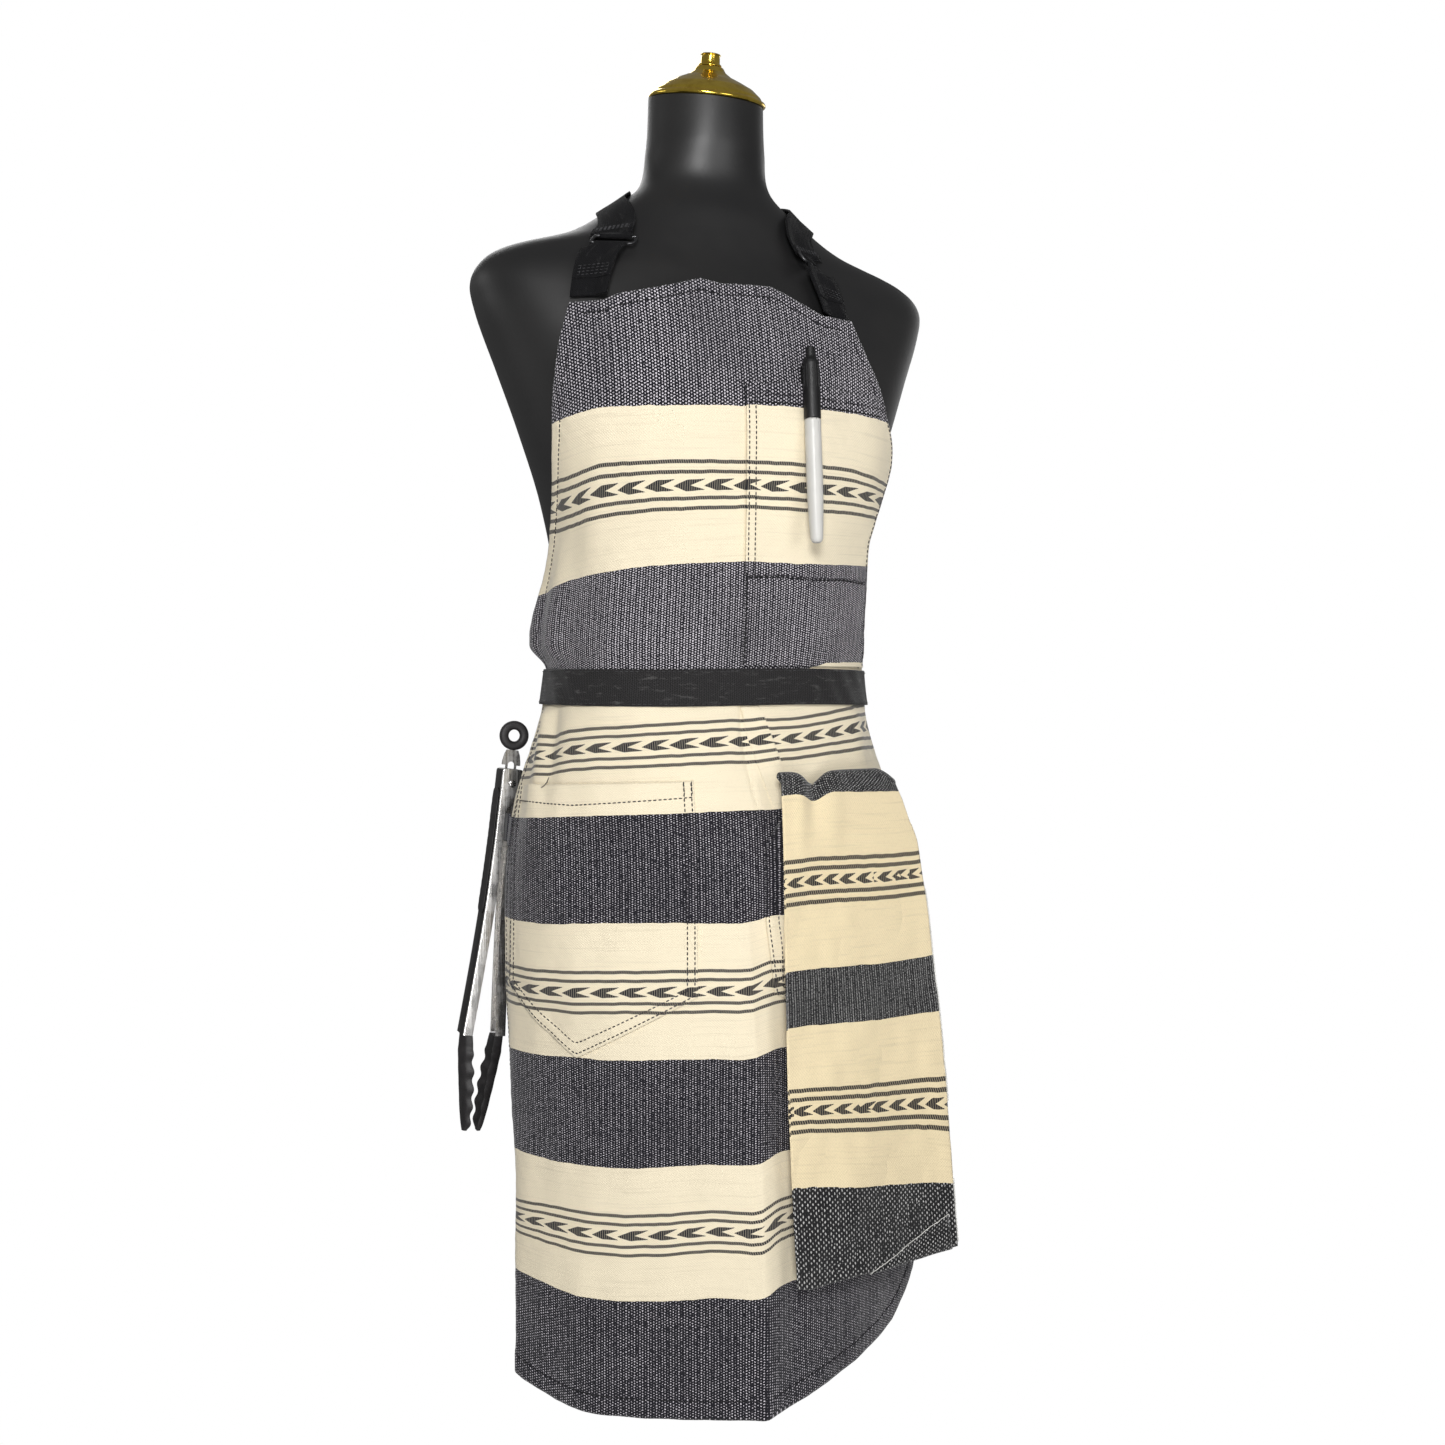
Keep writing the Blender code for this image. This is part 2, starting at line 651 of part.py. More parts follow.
def ring_between(name, below, above):
    """A rectangular wire ring that joins two strap ends."""
    low, high = below[0][1], above[0][1]
    centre = (below[0][2] + above[0][2]) / 2
    across = (low - below[0][3]).normalized()
    along = (above[0][2] - below[0][2]).normalized()
    out = across.cross(along).normalized()
    if out.dot(Vector((centre.x, centre.y, 0))) < 0:
        out = -out
    centre = centre + out * (RING_WIRE + 0.0026)
    half_long, half_high, corner = RING_LENGTH / 2, RING_HEIGHT / 2, 0.0025
    path = []
    for sx, sy, start in ((1, 1, 0), (-1, 1, 90), (-1, -1, 180), (1, -1, 270)):
        for k in range(4):
            turn = math.radians(start + 30 * k)
            x = sx * (half_long - corner) + corner * math.cos(turn)
            y = sy * (half_high - corner) + corner * math.sin(turn)
            path.append((centre + across * x + along * y, across * math.cos(turn) + along * math.sin(turn)))
    sides = 8
    points, faces = [], []
    for spot, outward in path:
        for k in range(sides):
            turn = math.tau * k / sides
            points.append(spot + (outward * math.cos(turn) + out * math.sin(turn)) * RING_WIRE / 2)
    for i in range(len(path)):
        for k in range(sides):
            a, b, m = i * sides, ((i + 1) % len(path)) * sides, (k + 1) % sides
            faces.append((a + k, a + m, b + m, b + k))
    return add_mesh(name, points, faces, "zinc steel", tuple(high.lerp(low, 0.5)))


def build_straps():
    stubs = {"left": LEFT_STRAP, "right": RIGHT_STRAP}
    lift = DRAPE_STANDOFF + 0.0008
    far = [(z, a - 360) for z, a in reversed(NAPE)]
    near = [(z, a - 360) for z, a in reversed(RIGHT_STRAP_UP)]
    whole = refined([*LEFT_STRAP_UP, *far, *near])
    rows = strap_rows(whole, STRAP_LIFT)
    ribbon("neck_strap", rows, "black webbing")
    ends = {"left": rows[0], "right": rows[-1]}
    for side, spots in stubs.items():
        stub = strap_rows(refined(spots), lift)
        ribbon(f"strap_end_{side}", stub, "black webbing")
        ring_between(f"strap_ring_{side}", stub[-1], ends[side])


# --- tongs -----------------------------------------------------------------------------------------

TONG_UP = Vector((math.sin(TONG_LEAN), 0, math.cos(TONG_LEAN)))
TONG_IN = Vector((math.cos(TONG_LEAN), 0, -math.sin(TONG_LEAN)))


def tong_point(inward, side, below):
    """A point by its distance from the tongs' axis towards the body, sideways, and below the rivet."""
    return TONG_PIVOT + TONG_IN * inward + Vector((0, side, 0)) - TONG_UP * below


def channel(sign, web, depth, half, below):
    """Corners of the U-shaped section of one arm; sign is -1 for the outer arm."""
    far, near = sign * web, sign * (web - depth)
    inner = sign * (web - ARM_WALL)
    run = (
        (far, -half),
        (far, half),
        (near, half),
        (near, half - ARM_WALL),
        (inner, half - ARM_WALL),
        (inner, -half + ARM_WALL),
        (near, -half + ARM_WALL),
        (near, -half),
    )
    return [tong_point(n, s, below) for n, s in run]


def build_arm(name, sign, half):
    rings = [channel(sign, web, depth, half, below) for below, web, depth in ARM_STATIONS]
    arm = loft(f"tong_{name}_arm", rings, "brushed stainless", tuple(TONG_PIVOT))
    hole = RIVET_RADIUS + 0.0003
    drill = turned(
        f"{name}_rivet_hole", [(0, -0.02), (hole, -0.02), (hole, 0.02), (0, 0.02)], "zinc steel",
        tuple(TONG_PIVOT), axis=(0, 1, 0), segments=16,
    )
    cut(arm, drill)

    grip_half = OUTER_ARM_HALF_WIDTH - 0.0012
    rings = []
    for below in (0.004, 0.010, 0.045, 0.090, 0.100):
        web = smooth_stations(ARM_STATIONS, below)[0] + TOUCH_GAP
        thick = 0.0004 if below in (0.004, 0.100) else 0.0011
        corners = ((web, -grip_half), (web, grip_half), (web + thick, grip_half - 0.001), (web + thick, -grip_half + 0.001))
        rings.append([tong_point(sign * n, s, below) for n, s in corners])
    loft(f"tong_{name}_grip", rings, "black rubber")

    # below the rivet, near and far distance from the axis, half width
    shape = (
        (TONG_ARM + 0.0006, 0.0085, 0.0165, 0.0085),
        (0.205, 0.0068, 0.0165, 0.0105),
        (0.222, 0.0045, 0.0142, 0.0100),
        (0.238, 0.0034, 0.0118, 0.0112),
        (0.252, 0.0027, 0.0098, 0.0095),
        (TONG_TIP_END, 0.0026, 0.0070, 0.0060),
    )
    rings = []
    for below, near, far, wide in shape:
        corners = ((near, -wide), (near, wide), (far - 0.002, wide), (far, wide * 0.6), (far, -wide * 0.6), (far - 0.002, -wide))
        rings.append([tong_point(sign * n, s, below) for n, s in corners])
    loft(f"tong_{name}_tip", rings, "black rubber")


def build_tongs():
    build_arm("outer", -1, OUTER_ARM_HALF_WIDTH)
    build_arm("inner", 1, INNER_ARM_HALF_WIDTH)
    reach = OUTER_ARM_HALF_WIDTH
    pin = []
    for side in (-1, 1):
        head = [(RIVET_RADIUS, reach + 0.0003), (0.0030, reach + 0.0003), (0.0027, reach + 0.0010), (0, reach + 0.0014)]
        pin += [(r, side * h) for r, h in (reversed(head) if side < 0 else head)]
    turned("tong_rivet", pin, "zinc steel", tuple(TONG_PIVOT), axis=(0, 1, 0), segments=16)

    wire, coil, turns = 0.0011, 0.0036, 3.5
    path = [tong_point(-0.0036, 0.0016, 0.013)]
    steps = 36
    for i in range(steps + 1):
        t = i / steps
        angle = math.tau * turns * t + math.pi
        path.append(tong_point(coil * math.cos(angle), 0.0016 + 0.0045 * t, coil * math.sin(angle)))
    path.append(tong_point(0.0036, 0.0061, 0.013))
    curve = bpy.data.curves.new("tong_spring", "CURVE")
    curve.dimensions = "3D"
    curve.bevel_depth = wire / 2
    curve.bevel_resolution = 1
    curve.use_fill_caps = True
    spline = curve.splines.new("POLY")
    spline.points.add(len(path) - 1)
    for point, spot in zip(spline.points, path):
        point.co = (*spot, 1)
    curve.materials.append(finish("zinc steel"))
    bpy.context.scene.collection.objects.link(bpy.data.objects.new("tong_spring", curve))

    ring_outer, ring_hole, ring_thick = HANG_RING
    ring_centre = -0.0480 + ring_outer  # below the rivet, so above it
    half = TAB_THICKNESS / 2
    slot = RIVET_RADIUS + 0.0004
    top = ring_centre + ring_outer + 0.0005

    def plate(side):
        """A trapezoid above the arms' heads on a shank narrow enough for the heads to swing in."""
        half_run = [(0.0045, top), (0.0070, top + 0.008), (0.0072, -0.0138), (0.0042, -0.0138), (0.0042, 0.0045)]
        run = half_run + [(-n, below) for n, below in reversed(half_run)]
        return [tong_point(n, side, below) for n, below in run]

    tab = loft("tong_lock_tab", [plate(-half), plate(half)], "brushed stainless")
    slot_run = [(slot, -TAB_TRAVEL - slot), (slot, slot), (-slot, slot), (-slot, -TAB_TRAVEL - slot)]
    window = loft(
        "tab_slot", [[tong_point(n, s, b) for n, b in slot_run] for s in (-0.01, 0.01)], "zinc steel"
    )
    cut(tab, window)
    bead = 0.0012
    profile = [
        (ring_hole, -ring_thick / 2 + bead),
        (ring_hole + bead, -ring_thick / 2),
        (ring_outer - bead, -ring_thick / 2),
        (ring_outer, -ring_thick / 2 + bead),
        (ring_outer, ring_thick / 2 - bead),
        (ring_outer - bead, ring_thick / 2),
        (ring_hole + bead, ring_thick / 2),
        (ring_hole, ring_thick / 2 - bead),
    ]
    turned("tong_hang_ring", profile, "black rubber", tuple(tong_point(0, 0, ring_centre)), axis=(0, 1, 0), segments=20)


def build_tong_loop():
    """A tape sewn to the apron's side edge that runs round the tongs' inner arm."""
    mid = LOOP_TOP + LOOP_HEIGHT / 2
    centre = tong_point(0, 0, mid)
    half, deep, thick = LOOP_HALF_SPAN, LOOP_DEPTH, CLOTH * 0.8
    height = centre.z
    run = []
    for distance in (-0.2100, -0.2135, -0.2170):
        spot = drape_point(distance, height, 0.0016)
        run.append((spot.x - centre.x, spot.y - centre.y))
    corner = 0.003
    turns = (
        (corner, -half + corner, 270, 180),
        (corner, half - corner, 180, 90),
        (deep - corner, half - corner, 90, 0),
        (deep - corner, -half + corner, 0, -80),
    )
    for cx, cy, start, end in turns:
        for k in range(4):
            turn = math.radians(start + (end - start) * k / 3)
            run.append((cx + corner * math.cos(turn), cy + corner * math.sin(turn)))
    rows = []
    for i, (x, y) in enumerate(run):
        before, after = run[max(i - 1, 0)], run[min(i + 1, len(run) - 1)]
        along = Vector((after[0] - before[0], after[1] - before[1], 0)).normalized()
        out = Vector((-along.y, along.x, 0))
        outside, inside = [], []
        for share in (-0.5, 0.5):
            lean = TONG_UP * (share * LOOP_HEIGHT)
            spot = centre + Vector((x, y, 0)) + lean
            outside.append(spot + out * thick / 2)
            inside.append(spot - out * thick / 2)
        rows.append((outside, inside))
    ribbon("tong_loop", rows, "striped cotton")


# --- marker and towel ------------------------------------------------------------------------------


def build_marker():
    lift = CHEST_GAP + CLOTH + 0.0010 + MARKER_RADIUS
    distance, height = MARKER_GRIP
    hold = drape_point(distance, height, lift)
    rise = drape_point(distance, height + 0.002, lift) - drape_point(distance, height - 0.014, lift)
    up = Vector((MARKER_TILT, rise.y / rise.z, 1)).normalized()
    low = hold - up * MARKER_BELOW_GRIP
    out = Vector((0.18, -1, 0))
    out = (out - up * out.dot(up)).normalized()
    r = MARKER_RADIUS
    body = [
        (0, 0),
        (0.0026, 0.0004),
        (0.0038, 0.0030),
        (0.0050, 0.0150),
        (r, 0.0300),
        (r, MARKER_LENGTH - MARKER_CAP_LENGTH - 0.0004),
        (0.0044, MARKER_LENGTH - MARKER_CAP_LENGTH - 0.0004),
        (0.0044, MARKER_LENGTH - MARKER_CAP_LENGTH + 0.010),
        (0.0026, MARKER_LENGTH - MARKER_CAP_LENGTH + 0.016),
        (0.0014, MARKER_LENGTH - MARKER_CAP_LENGTH + 0.020),
        (0, MARKER_LENGTH - MARKER_CAP_LENGTH + 0.020),
    ]
    turned("marker_barrel", body, "grey plastic", tuple(low), axis=tuple(up), segments=20)
    nib_base = MARKER_LENGTH - MARKER_CAP_LENGTH + 0.0204
    nib = [(0, nib_base), (0.0012, nib_base), (0.0010, nib_base + 0.003), (0, nib_base + 0.0042)]
    turned("marker_nib", nib, "felt", tuple(low), axis=tuple(up), segments=10)
    bottom = MARKER_LENGTH - MARKER_CAP_LENGTH
    cap = [
        (0.0048, bottom),
        (r + 0.0002, bottom),
        (r, bottom + 0.030),
        (0.0056, MARKER_LENGTH - 0.010),
        (0.0036, MARKER_LENGTH - 0.0075),
        (0.0030, MARKER_LENGTH - 0.0006),
        (0.0024, MARKER_LENGTH),
        (0, MARKER_LENGTH),
        (0, MARKER_LENGTH - 0.016),
        (0.0040, MARKER_LENGTH - 0.018),
        (0.0048, bottom + 0.012),
    ]
    solid = turned("marker_cap", cap, "black plastic", tuple(low), axis=tuple(up), segments=20)
    across = up.cross(out).normalized()
    clip_top, clip_length, clip_half = MARKER_LENGTH - 0.0105, 0.034, 0.0022
    rings = []
    reach = r + 0.0032
    for height, near, far in (
        (clip_top + 0.0008, 0.0035, reach),
        (clip_top - 0.0022, 0.0042, reach + 0.0006),
        (clip_top - 0.0026, reach - 0.0002, reach + 0.0006),
        (clip_top - clip_length, reach - 0.0002, reach + 0.0004),
    ):
        corners = ((near, -clip_half), (near, clip_half), (far, clip_half), (far, -clip_half))
        rings.append([low + up * height - out * n + across * s for n, s in corners])
    clip = loft("marker_clip_tool", rings, "black plastic")
    clip.hide_render = True
    clip.display_type = "WIRE"
    join = solid.modifiers.new("clip", "BOOLEAN")
    join.operation = "UNION"
    join.object = clip


def towel_face(x, z):
    """Front face of the hanging towel, which leans out a little towards the hem."""
    return TOWEL_FACE_Y + TOWEL_SLOPE * x - 0.002 * unit_step((0.30 - z) / 0.27)


def towel_edges(z):
    t = unit_step((TOWEL_TOP - z) / (TOWEL_TOP - TOWEL_BOTTOM))
    left = 0.006 + 0.010 * t
    right = 0.110 + 0.060 * t**0.6
    return left, right


def build_towel():
    total = 2 * TOWEL_LAYER + TOWEL_SLOT
    bend = total / 2
    top = TOWEL_TOP - bend
    slot = total / 2 - TOWEL_LAYER
    (tuck_left, tuck_right), tuck_low = TOWEL_TUCK

    def profile(tucked):
        """(depth behind the face, height) round the outside, then back along the slot."""
        low = tuck_low if tucked else top - 0.003
        outside = [(0, TOWEL_BOTTOM), (0, 0.15), (0, 0.27), (0, top)]
        for k in range(1, 6):
            turn = math.pi * k / 6
            outside.append((bend - bend * math.cos(turn), top + bend * math.sin(turn)))
        outside += [(total, top), (total, low)]
        inside = [(total - TOWEL_LAYER, low), (total - TOWEL_LAYER, top)]
        for k in (1, 2, 3):
            turn = math.pi * k / 4
            inside.append((bend + slot * math.cos(turn), top + slot * math.sin(turn)))
        inside += [(TOWEL_LAYER, top), (TOWEL_LAYER, 0.27), (TOWEL_LAYER, 0.15), (TOWEL_LAYER, TOWEL_BOTTOM)]
        return outside + inside

    left_top, right_top = towel_edges(TOWEL_TOP)
    width = right_top - left_top
    inner = [(tuck_left - left_top) / width, (tuck_right - left_top) / width]
    steps = [0, inner[0] - 0.02, inner[0]]
    steps += [inner[0] + (inner[1] - inner[0]) * k / 4 for k in (1, 2, 3)]
    steps += [inner[1], inner[1] + 0.02, 1]
    rings = []
    for share in steps:
        ring = []
        for depth, z in profile(inner[0] - 0.001 < share < inner[1] + 0.001):
            left, right = towel_edges(z if depth < TOWEL_LAYER + 0.0001 else TOWEL_TOP)
            x = left + (right - left) * share
            ring.append(Vector((x, towel_face(x, z) + depth, z)))
        rings.append(ring)
    loft("towel", rings, "striped cotton")


clear_scene()
build_form()
build_neck()
build_apron()
build_belt()
build_straps()
build_tongs()
build_tong_loop()
build_marker()
build_towel()
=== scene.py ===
"""Looks of the kitchen apron on its dress form: cloth, webbing, stitching, tongs, marker and towel.

Metres, +Z up, the form faces -Y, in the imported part's own frame. Distances called s run round the body
from the front centre line, on the outside of the apron.
"""

import math

import bmesh
import bpy
import numpy as np
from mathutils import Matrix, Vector


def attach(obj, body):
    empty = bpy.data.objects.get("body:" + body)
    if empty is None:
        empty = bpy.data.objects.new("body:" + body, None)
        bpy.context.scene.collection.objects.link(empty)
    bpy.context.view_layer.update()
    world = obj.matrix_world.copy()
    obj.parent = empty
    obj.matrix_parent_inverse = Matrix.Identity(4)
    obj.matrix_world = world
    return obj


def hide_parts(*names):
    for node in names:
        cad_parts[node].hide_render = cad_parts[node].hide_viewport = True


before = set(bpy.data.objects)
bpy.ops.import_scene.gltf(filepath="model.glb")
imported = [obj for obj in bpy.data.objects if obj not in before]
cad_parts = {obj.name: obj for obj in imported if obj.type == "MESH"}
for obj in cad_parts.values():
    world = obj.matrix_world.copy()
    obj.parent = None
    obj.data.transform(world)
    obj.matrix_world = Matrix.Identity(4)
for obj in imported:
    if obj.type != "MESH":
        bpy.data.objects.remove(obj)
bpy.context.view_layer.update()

# ---------------------------------------------------------------------------------------------------
# The part's own surfaces, repeated from its CAD source
# ---------------------------------------------------------------------------------------------------

CLOTH = 0.0012
CHEST_GAP = 0.0026
WEBBING = 0.0015
FORM_TOP = 0.905
# the neck is cut at a slant, low at the front
NECK_SLANT = math.radians(13)
NECK_MIDDLE = np.array((0, -0.0042, 0.8972))
NECK_AXIS = np.array((0, -math.sin(NECK_SLANT), math.cos(NECK_SLANT)))
# height, half width, front depth, back depth, squareness
FORM_STATIONS = np.array((
    (0.000, 0.130, 0.094, 0.104, 2.2),
    (0.100, 0.136, 0.098, 0.110, 2.2),
    (0.200, 0.141, 0.104, 0.113, 2.2),
    (0.284, 0.142, 0.108, 0.112, 2.2),
    (0.360, 0.133, 0.105, 0.099, 2.2),
    (0.450, 0.1185, 0.092, 0.086, 2.2),
    (0.530, 0.117, 0.094, 0.086, 2.2),
    (0.590, 0.127, 0.102, 0.090, 2.3),
    (0.645, 0.144, 0.106, 0.096, 2.4),
    (0.690, 0.1605, 0.094, 0.098, 2.5),
    (0.730, 0.1765, 0.078, 0.092, 2.5),
    (0.752, 0.1795, 0.067, 0.085, 2.5),
    (0.768, 0.164, 0.058, 0.078, 2.4),
    (0.785, 0.115, 0.052, 0.070, 2.3),
    (0.805, 0.083, 0.047, 0.061, 2.1),
    (0.830, 0.0525, 0.040, 0.058, 2.0),
    (0.860, 0.0458, 0.045, 0.045, 2.0),
    (0.905, 0.0437, 0.0475, 0.039, 2.0),
))
# height, left and right half width, front depth, back depth, squareness
DRAPE_STATIONS = np.array((
    (-0.065, 0.152, 0.196, 0.119, 0.100, 1.30),
    (0.050, 0.152, 0.190, 0.119, 0.110, 1.40),
    (0.160, 0.154, 0.180, 0.118, 0.118, 1.60),
    (0.284, 0.1555, 0.166, 0.117, 0.118, 1.85),
    (0.360, 0.150, 0.152, 0.112, 0.106, 2.00),
    (0.450, 0.1235, 0.1235, 0.097, 0.091, 2.20),
    (0.530, 0.1235, 0.130, 0.104, 0.091, 2.30),
    (0.590, 0.131, 0.140, 0.112, 0.095, 2.40),
    (0.645, 0.146, 0.150, 0.117, 0.099, 2.50),
    (0.690, 0.155, 0.155, 0.110, 0.098, 2.50),
    (0.745, 0.150, 0.150, 0.094, 0.092, 2.50),
))
DRAPE_STANDOFF = 0.0032
HEM = -0.065
BIB_TOP = 0.720
# height, left and right side edge as distances s
SIDE_EDGES = np.array((
    (-0.020, -0.231, 0.214),
    (0.100, -0.230, 0.216),
    (0.284, -0.226, 0.208),
    (0.370, -0.219, 0.186),
    (0.440, -0.203, 0.150),
    (0.470, -0.199, 0.116),
    (0.500, -0.1945, 0.107),
    (0.533, -0.188, 0.1055),
    (0.558, -0.1815, 0.104),
    (0.575, -0.177, 0.109),
    (0.591, -0.1725, 0.117),
    (0.613, -0.167, 0.126),
    (0.632, -0.1625, 0.124),
    (0.650, -0.159, 0.112),
    (0.672, -0.152, 0.1025),
    (0.699, -0.144, 0.087),
    (0.720, -0.136, 0.077),
))
WAIST = 0.452
BELT_WIDTH = 0.0262
BELT_LIFT = 0.0026
STRAP_WIDTH = 0.024
TONG_PIVOT = np.array((-0.1431, 0.0470, 0.3787))
TONG_LEAN = math.radians(6.6)
ARM_STATIONS = np.array((
    (-0.011, 0.0087, 0.0125),
    (0.014, 0.0087, 0.0125),
    (0.019, 0.0088, 0.0068),
    (0.045, 0.0090, 0.0068),
    (0.090, 0.0104, 0.0080),
    (0.140, 0.0132, 0.0080),
    (0.192, 0.0170, 0.0080),
))
MARKER_RADIUS = 0.0058
TOWEL_TOP = 0.393
TOWEL_BOTTOM = 0.026
TOWEL_LAYER = 0.0023
TOWEL_SLOT = 0.0036


def at_height(rows, z):
    """The stations' values at these heights, on a cubic through them; one trailing axis of values."""
    heights = rows[:, 0]
    z = np.clip(np.asarray(z, float), heights[0], heights[-1])
    last = len(rows) - 1
    after = np.minimum(np.arange(len(rows)) + 1, last)
    before = np.maximum(np.arange(len(rows)) - 1, 0)
    slopes = (rows[after, 1:] - rows[before, 1:]) / (heights[after] - heights[before])[:, None]
    low = np.clip(np.searchsorted(heights, z, side="right") - 1, 0, last - 1)
    span = (heights[low + 1] - heights[low])[..., None]
    t = (z - heights[low])[..., None] / span
    return (
        (2 * t**3 - 3 * t**2 + 1) * rows[low, 1:]
        + (t**3 - 2 * t**2 + t) * span * slopes[low]
        + (3 * t**2 - 2 * t**3) * rows[low + 1, 1:]
        + (t**3 - t**2) * span * slopes[low + 1]
    )


def section_radius(half_width, depth, squareness, angle):
    across = np.abs(np.sin(angle) / half_width) ** squareness
    along = np.abs(np.cos(angle) / depth) ** squareness
    return (across + along) ** (-1 / squareness)


def form_radius(z, angle):
    v = at_height(FORM_STATIONS, z)
    return section_radius(v[..., 0], np.where(np.cos(angle) > 0, v[..., 1], v[..., 2]), v[..., 3], angle)


def drape_radius(z, angle):
    v = at_height(DRAPE_STATIONS, z)
    wide = np.where(np.sin(angle) < 0, v[..., 0], v[..., 1])
    deep = np.where(np.cos(angle) > 0, v[..., 2], v[..., 3])
    own = section_radius(wide, deep, v[..., 4], angle)
    least = form_radius(z, angle) + DRAPE_STANDOFF
    return own * (1 + (least / own) ** 60) ** (1 / 60)


def around(radius, angle, z):
    radius, angle, z = np.broadcast_arrays(radius, angle, z)
    return np.stack((radius * np.sin(angle), -radius * np.cos(angle), z), -1)


def run_length(points):
    """Distance travelled along a row of points."""
    return np.concatenate(([0], np.cumsum(np.linalg.norm(np.diff(points, axis=0), axis=1))))


def angle_table():
    """Angle against distance s on a grid of heights."""
    heights = np.linspace(HEM - 0.004, 0.760, 420)
    angles = np.radians(np.arange(-170, 170.5, 2))
    reach = np.linspace(-0.30, 0.30, 301)
    table = np.zeros((len(heights), len(reach)))
    for i, z in enumerate(heights):
        p = around(drape_radius(np.full_like(angles, z), angles), angles, z)
        run = run_length(p)
        run -= run[len(run) // 2]
        table[i] = np.interp(reach, run, angles)
    return heights, reach, table


HEIGHTS, REACH, ANGLES = angle_table()


def angle_at(s, z):
    i = np.clip((z - HEIGHTS[0]) / (HEIGHTS[1] - HEIGHTS[0]), 0, len(HEIGHTS) - 1.001)
    j = np.clip((s - REACH[0]) / (REACH[1] - REACH[0]), 0, len(REACH) - 1.001)
    a, b = i.astype(int), j.astype(int)
    u, v = i - a, j - b
    low = ANGLES[a, b] * (1 - v) + ANGLES[a, b + 1] * v
    high = ANGLES[a + 1, b] * (1 - v) + ANGLES[a + 1, b + 1] * v
    return low * (1 - u) + high * u


def drape(s, z, lift=0.0):
    """Points on the apron's outside at distances s and heights z, lifted along the normal."""
    s, z, lift = (np.asarray(a, float) for a in np.broadcast_arrays(s, z, lift))
    angle = angle_at(s, z)
    here = around(drape_radius(z, angle), angle, z)
    beside = around(drape_radius(z, angle + 0.02), angle + 0.02, z)
    above = around(drape_radius(z + 0.002, angle), angle, z + 0.002)
    normal = np.cross(beside - here, above - here)
    normal /= np.linalg.norm(normal, axis=-1, keepdims=True)
    return here + normal * lift[..., None]


def looked_up(table, x, column=1):
    """A table's column at x, straight between its rows."""
    return np.interp(x, table[:, 0], table[:, column])


def pairs(x, y):
    """Two arrays, spread over each other, as one of (x, y)."""
    return np.stack(np.broadcast_arrays(x, y), -1)


def step(x, start, end):
    t = np.clip((x - start) / (end - start), 0, 1)
    return t * t * (3 - 2 * t)


def bell(x, middle, width):
    return np.exp(-(((x - middle) / width) ** 2))


RIPPLE_WAVES = 9


def ripple(x, y, size, amount, seed, stretch=1.0):
    """A smooth unrepeating swell made of plane waves of about this size."""
    make = np.random.default_rng(seed)
    total = np.zeros(np.broadcast(x, y).shape)
    for _ in range(RIPPLE_WAVES):
        turn, phase = make.uniform(0, math.tau, 2)
        pace = math.tau / size * make.uniform(0.6, 1.7)
        total += np.sin(pace * (np.cos(turn) * x + np.sin(turn) * y * stretch) + phase)
    return total * amount / math.sqrt(RIPPLE_WAVES)


# ---------------------------------------------------------------------------------------------------
# Meshes
# ---------------------------------------------------------------------------------------------------


def weld(obj, face_again=False):
    """Joins the points that lie on each other where a closed skin meets itself."""
    work = bmesh.new()
    work.from_mesh(obj.data)
    bmesh.ops.remove_doubles(work, verts=work.verts, dist=1e-7)
    if face_again:
        bmesh.ops.recalc_face_normals(work, faces=work.faces)
    work.to_mesh(obj.data)
    work.free()


def mesh_object(name, points, faces, material):
    mesh = bpy.data.meshes.new(name)
    mesh.from_pydata([tuple(p) for p in points], [], faces)
    mesh.update()
    mesh.shade_smooth()
    obj = bpy.data.objects.new(name, mesh)
    bpy.context.scene.collection.objects.link(obj)
    mesh.materials.append(material)
    return obj


def set_uv(obj, uv):
    """One UV map in metres from per-vertex coordinates."""
    layer = obj.data.uv_layers.new(name="metres")
    index = np.empty(len(obj.data.loops), int)
    obj.data.loops.foreach_get("vertex_index", index)
    layer.data.foreach_set("uv", np.asarray(uv, np.float32)[index].ravel())


def grid(name, points, uv, material, thickness=0.0, wrap=False):
    """A sheet from points[row, column], faced by u x v, with a UV map in metres."""
    rows, columns = points.shape[:2]
    index = np.arange(rows * columns).reshape(rows, columns)
    if wrap:
        index = np.concatenate((index, index[:, :1]), axis=1)
    a, b, c, d = index[:-1, :-1], index[:-1, 1:], index[1:, 1:], index[1:, :-1]
    faces = np.stack((a, b, c, d), -1).reshape(-1, 4).tolist()
    obj = mesh_object(name, points.reshape(-1, 3), faces, material)
    set_uv(obj, np.asarray(uv).reshape(-1, 2))
    if thickness:
        shell = obj.modifiers.new("thickness", "SOLIDIFY")
        shell.thickness = thickness
        shell.offset = -1
        apply_modifiers(obj)
    return obj


def apply_modifiers(obj):
    graph = bpy.context.evaluated_depsgraph_get()
    mesh = bpy.data.meshes.new_from_object(obj.evaluated_get(graph))
    old = obj.data
    obj.modifiers.clear()
    obj.data = mesh
    bpy.data.meshes.remove(old)


def join(name, objects):
    """One object from several, keeping their materials and UV maps."""
    bpy.ops.object.select_all(action="DESELECT")
    for o in objects:
        o.select_set(True)
    bpy.context.view_layer.objects.active = objects[0]
    bpy.ops.object.join()
    objects[0].name = name
    objects[0].data.name = name
    return objects[0]


